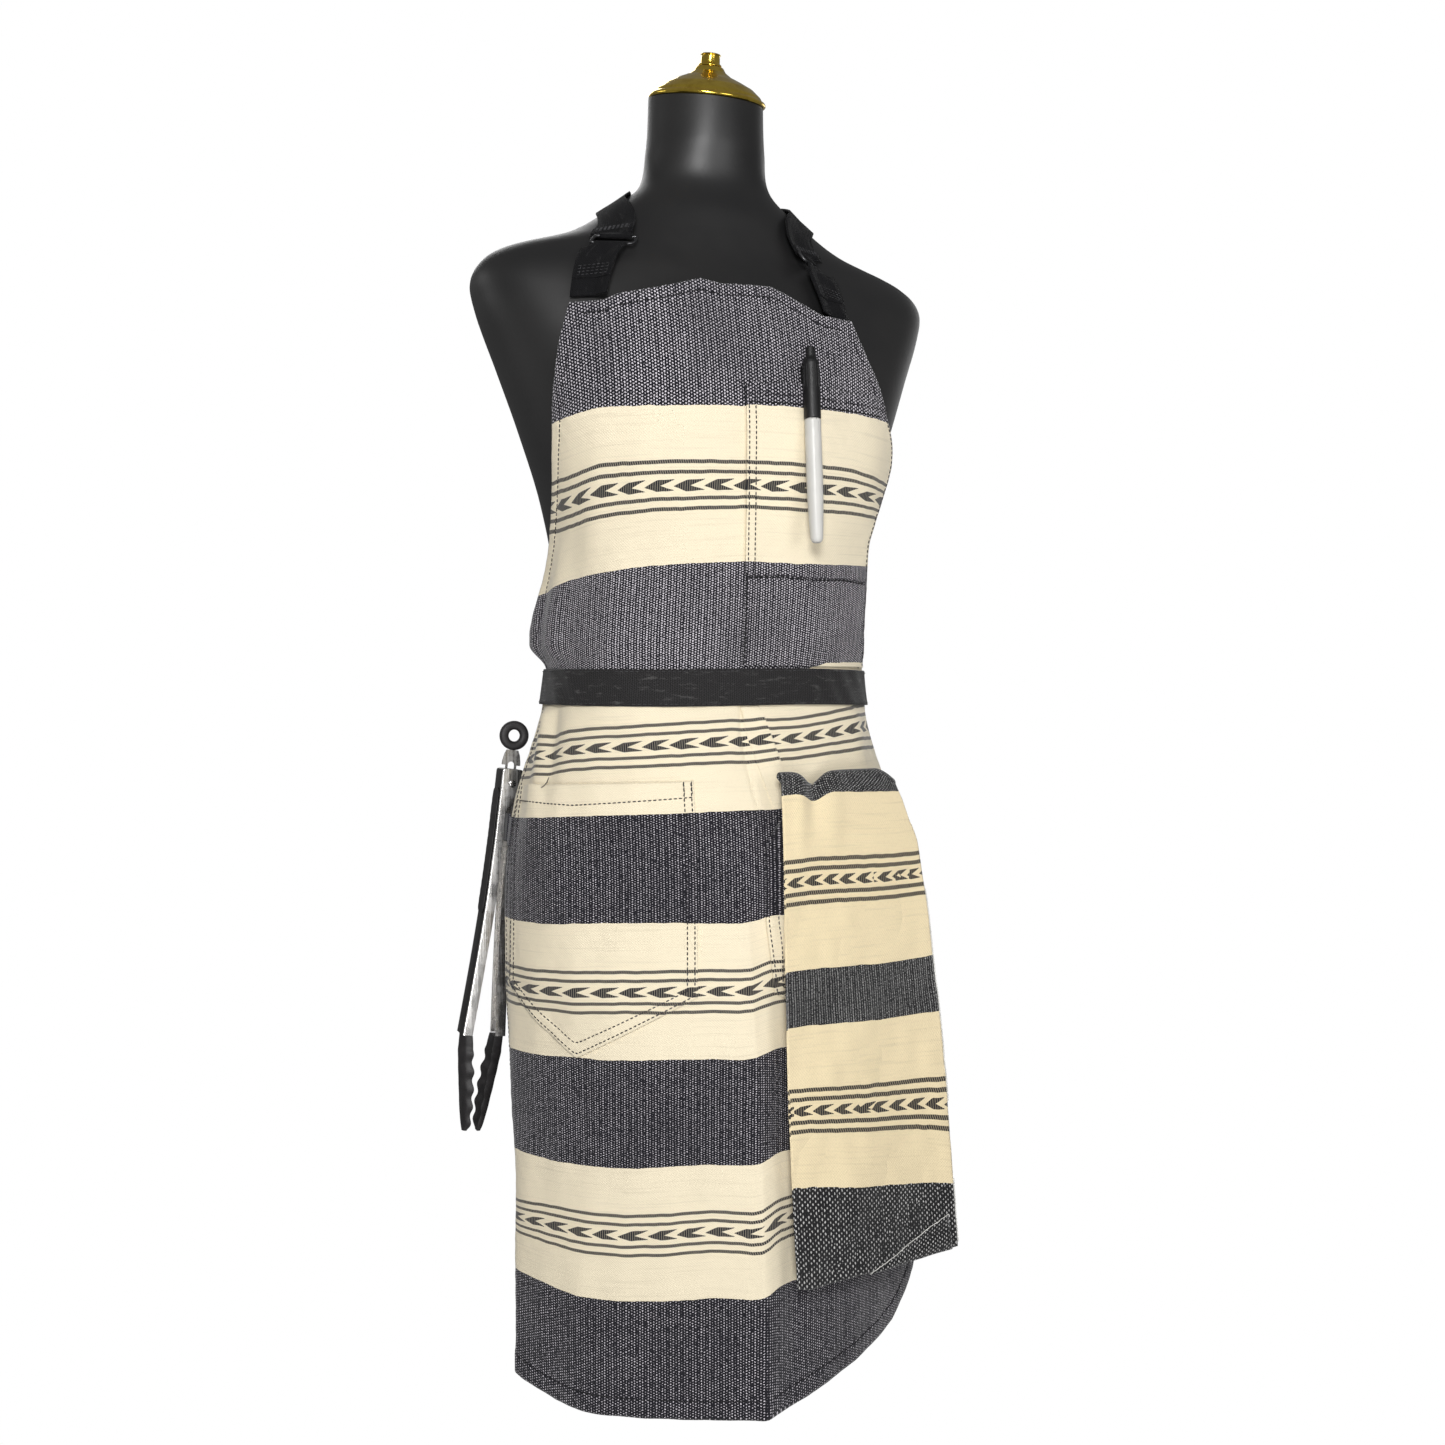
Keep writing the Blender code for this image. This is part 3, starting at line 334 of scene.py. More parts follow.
def loft(name, rings, material, caps=True):
    """A skin through rings of equally many points."""
    rings = np.asarray(rings, float)
    count = rings.shape[1]
    faces = []
    for i in range(len(rings) - 1):
        for j in range(count):
            k = (j + 1) % count
            faces.append((i * count + j, i * count + k, (i + 1) * count + k, (i + 1) * count + j))
    if caps:
        faces.append(tuple(range(count - 1, -1, -1)))
        faces.append(tuple((len(rings) - 1) * count + j for j in range(count)))
    obj = mesh_object(name, rings.reshape(-1, 3), faces, material)
    fix_normals(obj)
    return obj


def fix_normals(obj, angle=40):
    work = bmesh.new()
    work.from_mesh(obj.data)
    bmesh.ops.recalc_face_normals(work, faces=work.faces)
    work.to_mesh(obj.data)
    work.free()
    obj.data.shade_smooth()
    obj.data.set_sharp_from_angle(angle=math.radians(angle))


def turned(name, profile, material, at=(0, 0, 0), axis=(0, 0, 1), segments=96, angle=40):
    """A solid of revolution; the profile is an open run of (radius, height) from axis to axis."""
    up = np.asarray(axis, float)
    up = up / np.linalg.norm(up)
    side = np.asarray(Vector(up).orthogonal().normalized())
    other = np.cross(up, side)
    turns = np.linspace(0, math.tau, segments, endpoint=False)
    ring = np.cos(turns)[:, None] * side + np.sin(turns)[:, None] * other
    rings = [np.asarray(at) + up * h + ring * max(r, 1e-5) for r, h in profile]
    obj = loft(name, rings, material)
    fix_normals(obj, angle)
    return obj


def soft_profile(profile, radius=0.0006, parts=4):
    """The same profile with its inner corners rounded."""
    pts = [np.array(p, float) for p in profile]
    made = [pts[0]]
    for before, here, after in zip(pts, pts[1:], pts[2:]):
        a, b = before - here, after - here
        la, lb = np.linalg.norm(a), np.linalg.norm(b)
        cut = min(radius, la * 0.45, lb * 0.45)
        start, end = here + a / la * cut, here + b / lb * cut
        for k in range(parts + 1):
            t = k / parts
            made.append((1 - t) ** 2 * start + 2 * t * (1 - t) * here + t * t * end)
    made.append(pts[-1])
    return made


def tube(name, path, radius, material, sides=10, closed=False):
    """A round wire along a path, with frames carried along it."""
    path = np.asarray(path, float)
    if closed:
        along = np.roll(path, -1, 0) - np.roll(path, 1, 0)
    else:
        along = np.gradient(path, axis=0)
    along /= np.linalg.norm(along, axis=1, keepdims=True)
    normal = np.asarray(Vector(along[0]).orthogonal().normalized())
    turns = np.linspace(0, math.tau, sides, endpoint=False)
    radii = np.broadcast_to(radius, (len(path),))
    rings = []
    for p, a, r in zip(path, along, radii):
        normal = normal - a * (normal @ a)
        normal /= np.linalg.norm(normal)
        other = np.cross(a, normal)
        rings.append(p + r * (np.cos(turns)[:, None] * normal + np.sin(turns)[:, None] * other))
    if not closed:
        return loft(name, rings, material)
    rings.append(rings[0])
    obj = loft(name, rings, material, caps=False)
    weld(obj)
    return obj


def zigzag(edge, high, low, direction):
    """An overcast thread's run: every other point of an edge to each side of it."""
    return edge + np.where(np.arange(len(edge)) % 2, high, low)[:, None] * direction


def resample(path, spacing):
    """Evenly spaced points along a path."""
    path = np.asarray(path, float)
    run = run_length(path)
    count = max(int(run[-1] / spacing), 2)
    spots = np.linspace(0, run[-1], count + 1)
    return np.stack([np.interp(spots, run, path[:, k]) for k in range(path.shape[1])], 1)


def stitches(name, runs, material, length=0.0024, gap=0.0011, radius=0.00026):
    """Thread segments along runs of points; each run is an array of world points on the cloth."""
    points, faces = [], []
    shape = ((0.0, 0.25), (0.18, 0.9), (0.5, 1.0), (0.82, 0.9), (1.0, 0.25))
    for run in runs:
        spots = resample(run, length + gap)
        for a, b in zip(spots, spots[1:]):
            along = (b - a) / np.linalg.norm(b - a)
            side = np.asarray(Vector(along).orthogonal().normalized())
            other = np.cross(along, side)
            first = len(points)
            for t, r in shape:
                here = a + (b - a) * t * length / (length + gap)
                for k in range(5):
                    turn = math.tau * k / 5
                    points.append(here + (side * math.cos(turn) + other * math.sin(turn)) * radius * r)
            for i in range(len(shape) - 1):
                for k in range(5):
                    m = (k + 1) % 5
                    p, q = first + i * 5, first + (i + 1) * 5
                    faces.append((p + k, p + m, q + m, q + k))
            faces.append(tuple(first + k for k in range(4, -1, -1)))
            faces.append(tuple(first + (len(shape) - 1) * 5 + k for k in range(5)))
    return mesh_object(name, points, faces, material)


# ---------------------------------------------------------------------------------------------------
# Materials
# ---------------------------------------------------------------------------------------------------


class Shader:
    """A Principled material with small helpers for its nodes."""

    def __init__(self, name, colour=(0.5, 0.5, 0.5), roughness=0.5, metallic=0.0, **sockets):
        self.material = bpy.data.materials.new(name)
        self.material.use_nodes = True
        self.tree = self.material.node_tree
        self.bsdf = self.tree.nodes["Principled BSDF"]
        self.bsdf.inputs["Base Color"].default_value = (*colour, 1)
        self.bsdf.inputs["Roughness"].default_value = roughness
        self.bsdf.inputs["Metallic"].default_value = metallic
        for key, value in sockets.items():
            self.bsdf.inputs[key.replace("_", " ")].default_value = value

    def node(self, kind, **settings):
        made = self.tree.nodes.new(kind)
        for key, value in settings.items():
            setattr(made, key, value)
        return made

    def put(self, socket, value):
        if isinstance(value, bpy.types.NodeSocket):
            self.tree.links.new(value, socket)
        else:
            socket.default_value = value

    def math(self, operation, a, b=0.0, c=0.0):
        made = self.node("ShaderNodeMath", operation=operation)
        for socket, value in zip(made.inputs, (a, b, c)):
            self.put(socket, value)
        return made.outputs[0]

    def times(self, a, b):
        return self.math("MULTIPLY", a, b)

    def plus(self, a, b):
        return self.math("ADD", a, b)

    def times_plus(self, a, b, c):
        return self.math("MULTIPLY_ADD", a, b, c)

    def wave(self, value, period):
        """A sine of this period along value."""
        return self.math("SINE", self.times(value, math.tau / period))

    def span(self, value, low, high, to_low=0.0, to_high=1.0, smooth=True):
        made = self.node("ShaderNodeMapRange", interpolation_type="SMOOTHSTEP" if smooth else "LINEAR")
        for socket, v in zip(made.inputs, (value, low, high, to_low, to_high)):
            self.put(socket, v)
        return made.outputs[0]

    def mix(self, factor, a, b, blend="MIX"):
        made = self.node("ShaderNodeMix", data_type="RGBA", blend_type=blend)
        self.put(made.inputs[0], factor)
        for socket, value in ((made.inputs[6], a), (made.inputs[7], b)):
            self.put(socket, (*value, 1) if isinstance(value, tuple) and len(value) == 3 else value)
        return made.outputs[2]

    def uv(self):
        made = self.node("ShaderNodeUVMap", uv_map="metres")
        split = self.node("ShaderNodeSeparateXYZ")
        self.put(split.inputs[0], made.outputs[0])
        return made.outputs[0], split.outputs[0], split.outputs[1]

    def place(self):
        made = self.node("ShaderNodeTexCoord")
        return made.outputs["Object"]

    def scaled(self, vector, scale):
        made = self.node("ShaderNodeMapping")
        self.put(made.inputs[0], vector)
        made.inputs["Scale"].default_value = scale
        return made.outputs[0]

    def noise(self, vector, scale, detail=2.0, roughness=0.5):
        made = self.node("ShaderNodeTexNoise")
        self.put(made.inputs["Vector"], vector)
        made.inputs["Scale"].default_value = scale
        made.inputs["Detail"].default_value = detail
        made.inputs["Roughness"].default_value = roughness
        return made.outputs[0]

    def bump(self, height, strength, distance):
        made = self.node("ShaderNodeBump")
        made.inputs["Strength"].default_value = strength
        made.inputs["Distance"].default_value = distance
        self.put(made.inputs["Height"], height)
        self.put(self.bsdf.inputs["Normal"], made.outputs[0])

    def colour(self, value):
        self.put(self.bsdf.inputs["Base Color"], value)

    def roughness(self, value):
        self.put(self.bsdf.inputs["Roughness"], value)


STRIPE_PERIOD = 0.1745
CREAM_HALF = 0.0488
LINE_PLACES = (0.0147, 0.0083)  # the lines beside the arrow row, from its middle
DASH = 0.0016


def striped_cotton(name, cream, dark_yarns, ink, weave, coarse, sparse, faded=None):
    """Woven stripes. UV x is across the cloth and y along it, with an arrow row at every full period.

    dark_yarns are the two yarns of the dark bands; weave is the yarn spacing across and along; the lower
    sparse is, the fewer light yarns show; faded is the stretch over which they grow, and by how much."""
    m = Shader(name, roughness=0.88, Sheen_Weight=0.25, Sheen_Roughness=0.5)
    m.bsdf.inputs["Specular IOR Level"].default_value = 0.2
    vector, x, y = m.uv()
    wobble = m.noise(m.scaled(vector, (90, 30, 1)), 1.0, 1)
    y_yarn = m.times_plus(m.math("SUBTRACT", wobble, 0.5), 0.0012, y)
    turns = m.times_plus(y_yarn, 1 / STRIPE_PERIOD, 0.5)
    offset = m.times(m.math("SUBTRACT", m.math("FRACT", turns), 0.5), STRIPE_PERIOD)
    away = m.math("ABSOLUTE", offset)
    in_cream = m.math("LESS_THAN", away, CREAM_HALF)

    # four dashed lines beside the arrow row
    near, far = (m.math("ABSOLUTE", m.math("SUBTRACT", away, place)) for place in LINE_PLACES)
    line = m.span(m.math("MINIMUM", near, far), 0.0010 * coarse, 0.0014 * coarse, 1.0, 0.0)
    slant = m.times_plus(offset, 0.35, x)
    dash = m.span(m.wave(slant, DASH * coarse), -0.8, 0.2)
    line = m.times(line, m.times_plus(dash, 0.34, 0.66))

    # the row of arrowheads, pointing to smaller x
    length = 0.0205 if coarse < 1.2 else 0.0175
    drift = m.noise(m.scaled(vector, (22, 6, 1)), 1.0, 1)
    phase = m.math("FRACT", m.times_plus(x, 1 / length, m.times(drift, 0.35)))
    tilt = m.times_plus(phase, -0.0009, m.plus(offset, 0.0006))
    reach = m.math("ABSOLUTE", tilt)
    outer = m.times(m.span(phase, 0.0, 0.42, 0.06, 1.0, False), 0.0036)
    inner = m.times(m.span(phase, 0.54, 1.08, 0.0, 1.0, False), 0.0038)
    arrow = m.times(m.math("LESS_THAN", reach, outer), m.math("GREATER_THAN", reach, inner))
    tick = m.span(m.wave(x, DASH * coarse), -0.8, 0.2)
    arrow = m.times(arrow, m.times_plus(tick, 0.22, 0.78))
    motif = m.math("MAXIMUM", line, arrow)

    # yarns: a basket of small blobs across and along
    across, along = weave
    warp = m.wave(x, across)
    weft = m.wave(y, along)
    column = m.math("FLOOR", m.times_plus(x, 1 / across, 0.25))
    dots = m.wave(m.times_plus(column, 0.5 * along, y), along)
    group = m.wave(x, across * 2.7)
    basket = m.times(warp, weft)
    thread = m.noise(m.scaled(vector, (1 / across, 18, 1)), 1.0, 3, 0.6)
    pick = m.noise(m.scaled(vector, (14, 1 / along, 1)), 1.0, 3, 0.6)
    cloud = m.noise(m.scaled(vector, (16, 11, 1)), 1.0, 3, 0.6)
    grain = m.noise(vector, 900 / coarse, 2, 0.7)

    lean = m.times_plus(thread, 0.35, m.times_plus(grain, 2.6, sparse))
    bands = m.times_plus(warp, 0.46, m.times_plus(group, 0.12, lean))
    blob = m.times_plus(dots, 0.52, bands)
    if faded:
        start, end, amount = faded
        blob = m.plus(blob, m.span(y, start, end, 0.0, amount))
    light_yarn = m.span(blob, -0.05, 0.40)
    dark = m.mix(light_yarn, dark_yarns[0], dark_yarns[1])
    dark = m.mix(m.span(cloud, 0.35, 0.7, 0.0, 0.28), dark, dark_yarns[0])

    slub = m.span(pick, 0.50, 0.70, 0.0, 0.24)
    pale = m.mix(slub, cream, tuple(c * 0.62 for c in cream))
    pale = m.mix(m.span(basket, -1.0, 1.0, 0.09, 0.0), pale, tuple(c * 0.45 for c in cream))
    pale = m.mix(m.span(cloud, 0.3, 0.75, 0.0, 0.10), pale, tuple(c * 0.7 for c in cream))
    pale = m.mix(m.span(grain, 0.32, 0.60, 0.15, 0.0), pale, tuple(c * 0.55 for c in cream))
    pale = m.mix(motif, pale, ink)
    m.colour(m.mix(in_cream, dark, pale))
    relief = m.plus(m.times(basket, 0.5), m.times(grain, 0.7))
    m.bump(m.plus(relief, m.times(motif, 0.3)), 0.60, 0.0003 * coarse)
    return m.material


def webbing_material(name, colour, rib, lint=0.25, nap=0.2):
    """Black tape: ribs across it and a little lint. UV y runs 0 to 1 across."""
    m = Shader(name, roughness=0.78, Sheen_Weight=nap, Sheen_Roughness=0.4)
    m.bsdf.inputs["Specular IOR Level"].default_value = 0.05 + nap
    vector, x, y = m.uv()
    ribs = m.wave(x, rib)
    rows = m.wave(y, 0.0011)
    chevron = m.math("SINE", m.times_plus(m.math("PINGPONG", y, 0.004), math.tau / 0.0016,
                                    m.times(x, math.tau / (rib * 1.7))))
    fibre = m.noise(vector, 2600, 2, 0.7)
    dust = m.noise(m.scaled(vector, (60, 240, 1)), 1.0, 4, 0.75)
    weave = m.plus(m.times(ribs, 0.5), m.times(rows, 0.25))
    weave = m.plus(weave, m.times(chevron, 0.35))
    tone = m.mix(m.span(weave, -0.7, 0.8), tuple(c * 0.35 for c in colour), tuple(c * 2.3 for c in colour))
    tone = m.mix(m.span(fibre, 0.40, 0.75, 0.0, 0.6), tone, tuple(c * 5.0 for c in colour))
    tone = m.mix(m.span(dust, 0.54, 0.70, 0.0, lint), tone, (0.22, 0.215, 0.21))
    m.colour(tone)
    m.bump(m.plus(weave, m.times(fibre, 0.6)), 0.55, 0.00035)
    return m.material


def simple_material(name, colour, roughness, metallic=0.0, grain=400.0, depth=0.00005, spread=0.08):
    """A plain finish with fine grain in its colour, gloss and relief."""
    m = Shader(name, colour, roughness, metallic)
    spot = m.place()
    fine = m.noise(spot, grain, 3, 0.6)
    broad = m.noise(spot, grain * 0.06, 3, 0.6)
    darker = tuple(c * (1 - spread * 2.2) for c in colour)
    lighter = tuple(min(c * (1 + spread), 1) for c in colour)
    m.colour(m.mix(m.span(broad, 0.3, 0.7), darker, lighter))
    m.roughness(m.span(fine, 0.2, 0.8, max(roughness - 0.06, 0.02), roughness + 0.08))
    m.bump(fine, 0.25, depth)
    return m.material


def brushed_steel(name, bright):
    """Stainless with fine brushing along the arm, smudges and small scuffs; bright scales its colour."""
    m = Shader(name, (0.60, 0.59, 0.57), 0.30, 1.0)
    spot = m.place()
    lines = m.noise(m.scaled(spot, (2600, 2600, 26)), 1.0, 3, 0.6)
    smudge = m.noise(spot, 55, 4, 0.65)
    scuff = m.noise(m.scaled(spot, (500, 500, 180)), 1.0, 4, 0.7)

    def tint(*colour):
        return tuple(c * bright for c in colour)

    tone = m.mix(m.span(lines, 0.25, 0.75), tint(0.62, 0.60, 0.58), tint(0.95, 0.94, 0.92))
    tone = m.mix(m.span(smudge, 0.45, 0.75, 0.0, 0.45), tone, tint(0.30, 0.28, 0.27))
    tone = m.mix(m.span(scuff, 0.66, 0.74, 0.0, 0.6), tone, tint(1.0, 1.0, 0.99))
    m.colour(tone)
    m.roughness(m.plus(m.span(lines, 0.2, 0.8, 0.16, 0.30), m.span(smudge, 0.4, 0.8, 0.0, 0.18)))
    m.bump(lines, 0.25, 0.00004)
    return m.material


def gold_finish(name):
    """Plated brass, softly dented by polishing, with tarnish in its lows."""
    m = Shader(name, (0.86, 0.62, 0.14), 0.14, 1.0)
    spot = m.place()
    wave = m.noise(spot, 45, 2, 0.5)
    fine = m.noise(m.scaled(spot, (60, 60, 900)), 1.0, 3, 0.6)
    stain = m.noise(spot, 90, 4, 0.7)
    tone = m.mix(m.span(stain, 0.35, 0.75, 0.0, 0.6), (1.0, 0.72, 0.11), (0.52, 0.31, 0.03))
    m.colour(tone)
    m.roughness(m.span(stain, 0.3, 0.8, 0.08, 0.24))
    m.bump(m.plus(wave, m.times(fine, 0.12)), 0.35, 0.0012)
    return m.material


def satin_black(name):
    """The form's sprayed shell: near-black satin with faint orange peel and dust."""
    m = Shader(name, (0.014, 0.014, 0.0145), 0.46)
    m.bsdf.inputs["Specular IOR Level"].default_value = 0.58
    spot = m.place()
    peel = m.noise(spot, 420, 2, 0.5)
    broad = m.noise(spot, 9, 3, 0.6)
    dust = m.noise(spot, 1500, 2, 0.8)
    tone = m.mix(m.span(broad, 0.3, 0.7), (0.010, 0.010, 0.0105), (0.015, 0.0145, 0.0145))
    tone = m.mix(m.span(dust, 0.72, 0.80, 0.0, 0.25), tone, (0.08, 0.08, 0.085))
    m.colour(tone)
    m.roughness(m.span(broad, 0.3, 0.7, 0.42, 0.52))
    m.bump(peel, 0.2, 0.0002)
    return m.material


APRON_CREAM = (0.89, 0.79, 0.59)
APRON_CLOTH = striped_cotton(
    "apron cotton", APRON_CREAM, ((0.009, 0.0085, 0.013), (0.68, 0.645, 0.69)),
    (0.007, 0.008, 0.014), (0.0020, 0.0017), 1.0, -2.00, faded=(0.34, 0.39, 0.26),
)
TOWEL_CLOTH = striped_cotton(
    "towel cotton", (0.88, 0.74, 0.48), ((0.008, 0.008, 0.009), (0.60, 0.59, 0.58)),
    (0.008, 0.008, 0.012), (0.0022, 0.0019), 1.25, -1.97,
)
LOOP_CLOTH = striped_cotton(
    "loop cotton", (0.05, 0.05, 0.055), ((0.010, 0.010, 0.014), (0.20, 0.20, 0.22)),
    (0.03, 0.03, 0.03), (0.0016, 0.0014), 1.0, -1.6,
)
BELT_TAPE = webbing_material("belt tape", (0.0115, 0.011, 0.0112), 0.0016, lint=0.26, nap=0.14)
STRAP_TAPE = webbing_material("strap tape", (0.0045, 0.0045, 0.005), 0.0010, lint=0.08, nap=0.04)
DARK_THREAD = simple_material("dark thread", (0.028, 0.024, 0.030), 0.7, grain=3000, spread=0.3)
# painted shade: a near-black line laid along seams and hem stitching for the shade in their grooves
SEAM_SHADE = simple_material("painted seam shade", (0.006, 0.006, 0.008), 0.8, grain=3000, spread=0.3)
WHITE_THREAD = simple_material("white thread", (0.75, 0.74, 0.70), 0.75, grain=3000, spread=0.1)
GREY_THREAD = simple_material("grey thread", (0.07, 0.07, 0.075), 0.7, grain=3000, spread=0.3)
SHELL = satin_black("form satin")
GOLD = gold_finish("cap gold")
STEEL = brushed_steel("tong steel", 1.0)
# painted dark reflection: the tong steel at 0.08 of its colour, near-black, for the arms' outer web faces
PAINTED_REFLECTION_STEEL = brushed_steel("tong web steel painted dark reflection", 0.08)
RIVET = simple_material("rivet steel", (0.62, 0.60, 0.58), 0.25, 1.0, grain=900, spread=0.1)
ZINC = simple_material("plated steel", (0.55, 0.55, 0.57), 0.34, 1.0, grain=500, spread=0.12)
RING_STEEL = simple_material("ring steel", (0.13, 0.13, 0.135), 0.38, 1.0, grain=500, spread=0.15)
RUBBER = simple_material("tong rubber", (0.020, 0.018, 0.019), 0.55, grain=1500, depth=0.0001, spread=0.2)
BLACK_PLASTIC = simple_material("cap plastic", (0.004, 0.004, 0.0045), 0.50, grain=900, spread=0.15)
GREY_PLASTIC = simple_material("barrel plastic", (0.61, 0.60, 0.57), 0.36, grain=500, spread=0.03)
FELT = simple_material("nib felt", (0.01, 0.01, 0.011), 0.95, grain=4000, depth=0.0002, spread=0.3)
BOARD = simple_material("board paint", (0.05, 0.045, 0.04), 0.65, grain=160, depth=0.0003, spread=0.2)

# ---------------------------------------------------------------------------------------------------
# Camera, stage and light
# ---------------------------------------------------------------------------------------------------

IMAGE_SIDE = 1445
FOCAL_PIXELS = 1500
SENSOR_WIDTH = 36
CAMERA_DISTANCE = 1.16
CAMERA_HEIGHT = 0.45
AIM_RIGHT = 17.5  # pixels from the image's middle to the form's axis
FLOOR_HALF = 60.0
FLOOR_HEIGHT = -0.95


def build_camera():
    turn, pitch = math.radians(-22), math.radians(1.24)
    yaw = math.atan(AIM_RIGHT / FOCAL_PIXELS)
    side = Vector((math.cos(turn), math.sin(turn), 0))
    ahead = Vector((-math.sin(turn), math.cos(turn), 0))
    spot = -ahead * CAMERA_DISTANCE + Vector((0, 0, CAMERA_HEIGHT))
    look = ahead * math.cos(yaw) + side * math.sin(yaw)
    look = look * math.cos(pitch) - Vector((0, 0, 1)) * math.sin(pitch)
    data = bpy.data.cameras.new("camera")
    data.sensor_width = SENSOR_WIDTH
    data.lens = SENSOR_WIDTH * FOCAL_PIXELS / IMAGE_SIDE
    data.clip_start, data.clip_end = 0.01, 200
    cam = bpy.data.objects.new("camera", data)
    bpy.context.scene.collection.objects.link(cam)
    cam.location = spot
    cam.rotation_mode = "QUATERNION"
    cam.rotation_quaternion = look.to_track_quat("-Z", "Y")
    bpy.context.scene.camera = cam


def area_light(name, spot, target, size, power):
    data = bpy.data.lights.new(name, "AREA")
    data.shape = "DISK"
    data.size = size
    data.energy = power
    lamp = bpy.data.objects.new(name, data)
    bpy.context.scene.collection.objects.link(lamp)
    lamp.location = spot
    lamp.rotation_mode = "QUATERNION"
    lamp.rotation_quaternion = (Vector(target) - Vector(spot)).to_track_quat("-Z", "Y")


def build_stage():
    scene = bpy.context.scene
    scene.view_settings.view_transform = "Standard"
    floor_paint = Shader("floor paint", (0.62, 0.62, 0.62), 0.9)
    # the camera sees the floor as evenly pale as the backdrop; the lamps see plain paint
    pale = floor_paint.node("ShaderNodeEmission")
    seen = floor_paint.node("ShaderNodeLightPath")
    pick = floor_paint.node("ShaderNodeMixShader")
    floor_paint.put(pick.inputs[0], seen.outputs["Is Camera Ray"])
    floor_paint.put(pick.inputs[1], floor_paint.bsdf.outputs[0])
    floor_paint.put(pick.inputs[2], pale.outputs[0])
    floor_paint.put(floor_paint.tree.nodes["Material Output"].inputs[0], pick.outputs[0])
    corners = [(x * FLOOR_HALF, y * FLOOR_HALF, FLOOR_HEIGHT)
               for x, y in ((-1, -1), (1, -1), (1, 1), (-1, 1))]
    floor = mesh_object("floor", corners, [(0, 1, 2, 3)], floor_paint.material)
    world = bpy.data.worlds.new("studio")
    scene.world = world
    world.use_nodes = True
    tree = world.node_tree
    back = tree.nodes["Background"]
    back.inputs[0].default_value = (1, 1, 1, 1)
    back.inputs[1].default_value = 0.17
    shown = tree.nodes.new("ShaderNodeBackground")
    shown.inputs[0].default_value = (1, 1, 1, 1)
    shown.inputs[1].default_value = 1.0
    seen = tree.nodes.new("ShaderNodeLightPath")
    pick = tree.nodes.new("ShaderNodeMixShader")
    tree.links.new(seen.outputs["Is Camera Ray"], pick.inputs[0])
    tree.links.new(back.outputs[0], pick.inputs[1])
    tree.links.new(shown.outputs[0], pick.inputs[2])
    tree.links.new(pick.outputs[0], tree.nodes["World Output"].inputs[0])
    middle = (0, 0, 0.42)
    area_light("key", (-0.62, -1.50, 0.95), middle, 0.42, 17.0)
    area_light("low key", (-0.50, -1.60, 0.00), (0, 0, 0.12), 0.60, 8.5)
    area_light("fill", (0.45, -1.62, 0.62), middle, 0.7, 5.2)
    area_light("rim left", (-1.5, 0.9, 1.0), middle, 0.8, 2.6)
    area_light("rim right", (1.4, 1.0, 1.1), middle, 0.8, 2.6)
    area_light("back", (0.0, 1.5, 1.7), middle, 0.9, 7)


# ---------------------------------------------------------------------------------------------------
# Form and neck cap
# ---------------------------------------------------------------------------------------------------


def build_form():
    heights = np.concatenate((
        np.linspace(0.004, 0.70, 90), np.linspace(0.704, 0.860, 74)
    ))
    turns = np.linspace(0, math.tau, 160, endpoint=False)
    rim = np.full_like(turns, NECK_MIDDLE[2])
    for _ in range(8):
        y = around(form_radius(rim, turns), turns, rim)[:, 1]
        rim = NECK_MIDDLE[2] + math.tan(NECK_SLANT) * (y - NECK_MIDDLE[1])
    heights = np.broadcast_to(heights[:, None], (len(heights), len(turns)))
    share = np.linspace(0.1, 1, 12)[:, None]
    heights = np.concatenate((heights, heights[-1:] + (rim - heights[-1:]) * share))
    radius = form_radius(heights, turns[None, :])
    outer = around(radius, turns[None, :], heights)
    inner = around(radius - 0.0035, turns[None, :], heights)
    rings = np.concatenate((outer, inner[::-1], outer[:1]))
    shell = loft("form_shell", rings, SHELL, caps=False)
    weld(shell)
    fix_normals(shell, 50)
    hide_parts("torso_shell")
    return shell


def build_cap():
    seat = 0.0004
    profile = [
        (0.0, seat),
        (0.0440, seat),
        (0.0450, seat + 0.0012),
        (0.0444, seat + 0.0030),
        (0.0420, seat + 0.0040),
        (0.0410, seat + 0.0062),
        (0.0345, seat + 0.0115),
        (0.0255, seat + 0.0158),
        (0.0175, seat + 0.0192),
        (0.0125, seat + 0.0226),
        (0.0102, seat + 0.0262),
        (0.0, seat + 0.0262),
    ]
    cap = turned("cap_dome", soft_profile(profile, 0.0011, 5), GOLD, NECK_MIDDLE, NECK_AXIS, 128, 60)
    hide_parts("neck_cap")
    collar = seat + 0.0262 + 0.0004
    stem = [
        (0.0, seat - 0.030),
        (0.006, seat - 0.030),
        (0.006, collar),
        (0.0090, collar),
        (0.0088, collar + 0.0012),
        (0.0074, collar + 0.0022),
        (0.0070, 0.0345),
        (0.0078, 0.0353),
        (0.0070, 0.0360),
        (0.0, 0.0360),
    ]
    post = turned("cap_post", soft_profile(stem, 0.0004, 4), GOLD, NECK_MIDDLE, NECK_AXIS, 72, 60)
    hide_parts("cap_stem")
    return [cap, post]


# ---------------------------------------------------------------------------------------------------
# Apron cloth
# ---------------------------------------------------------------------------------------------------

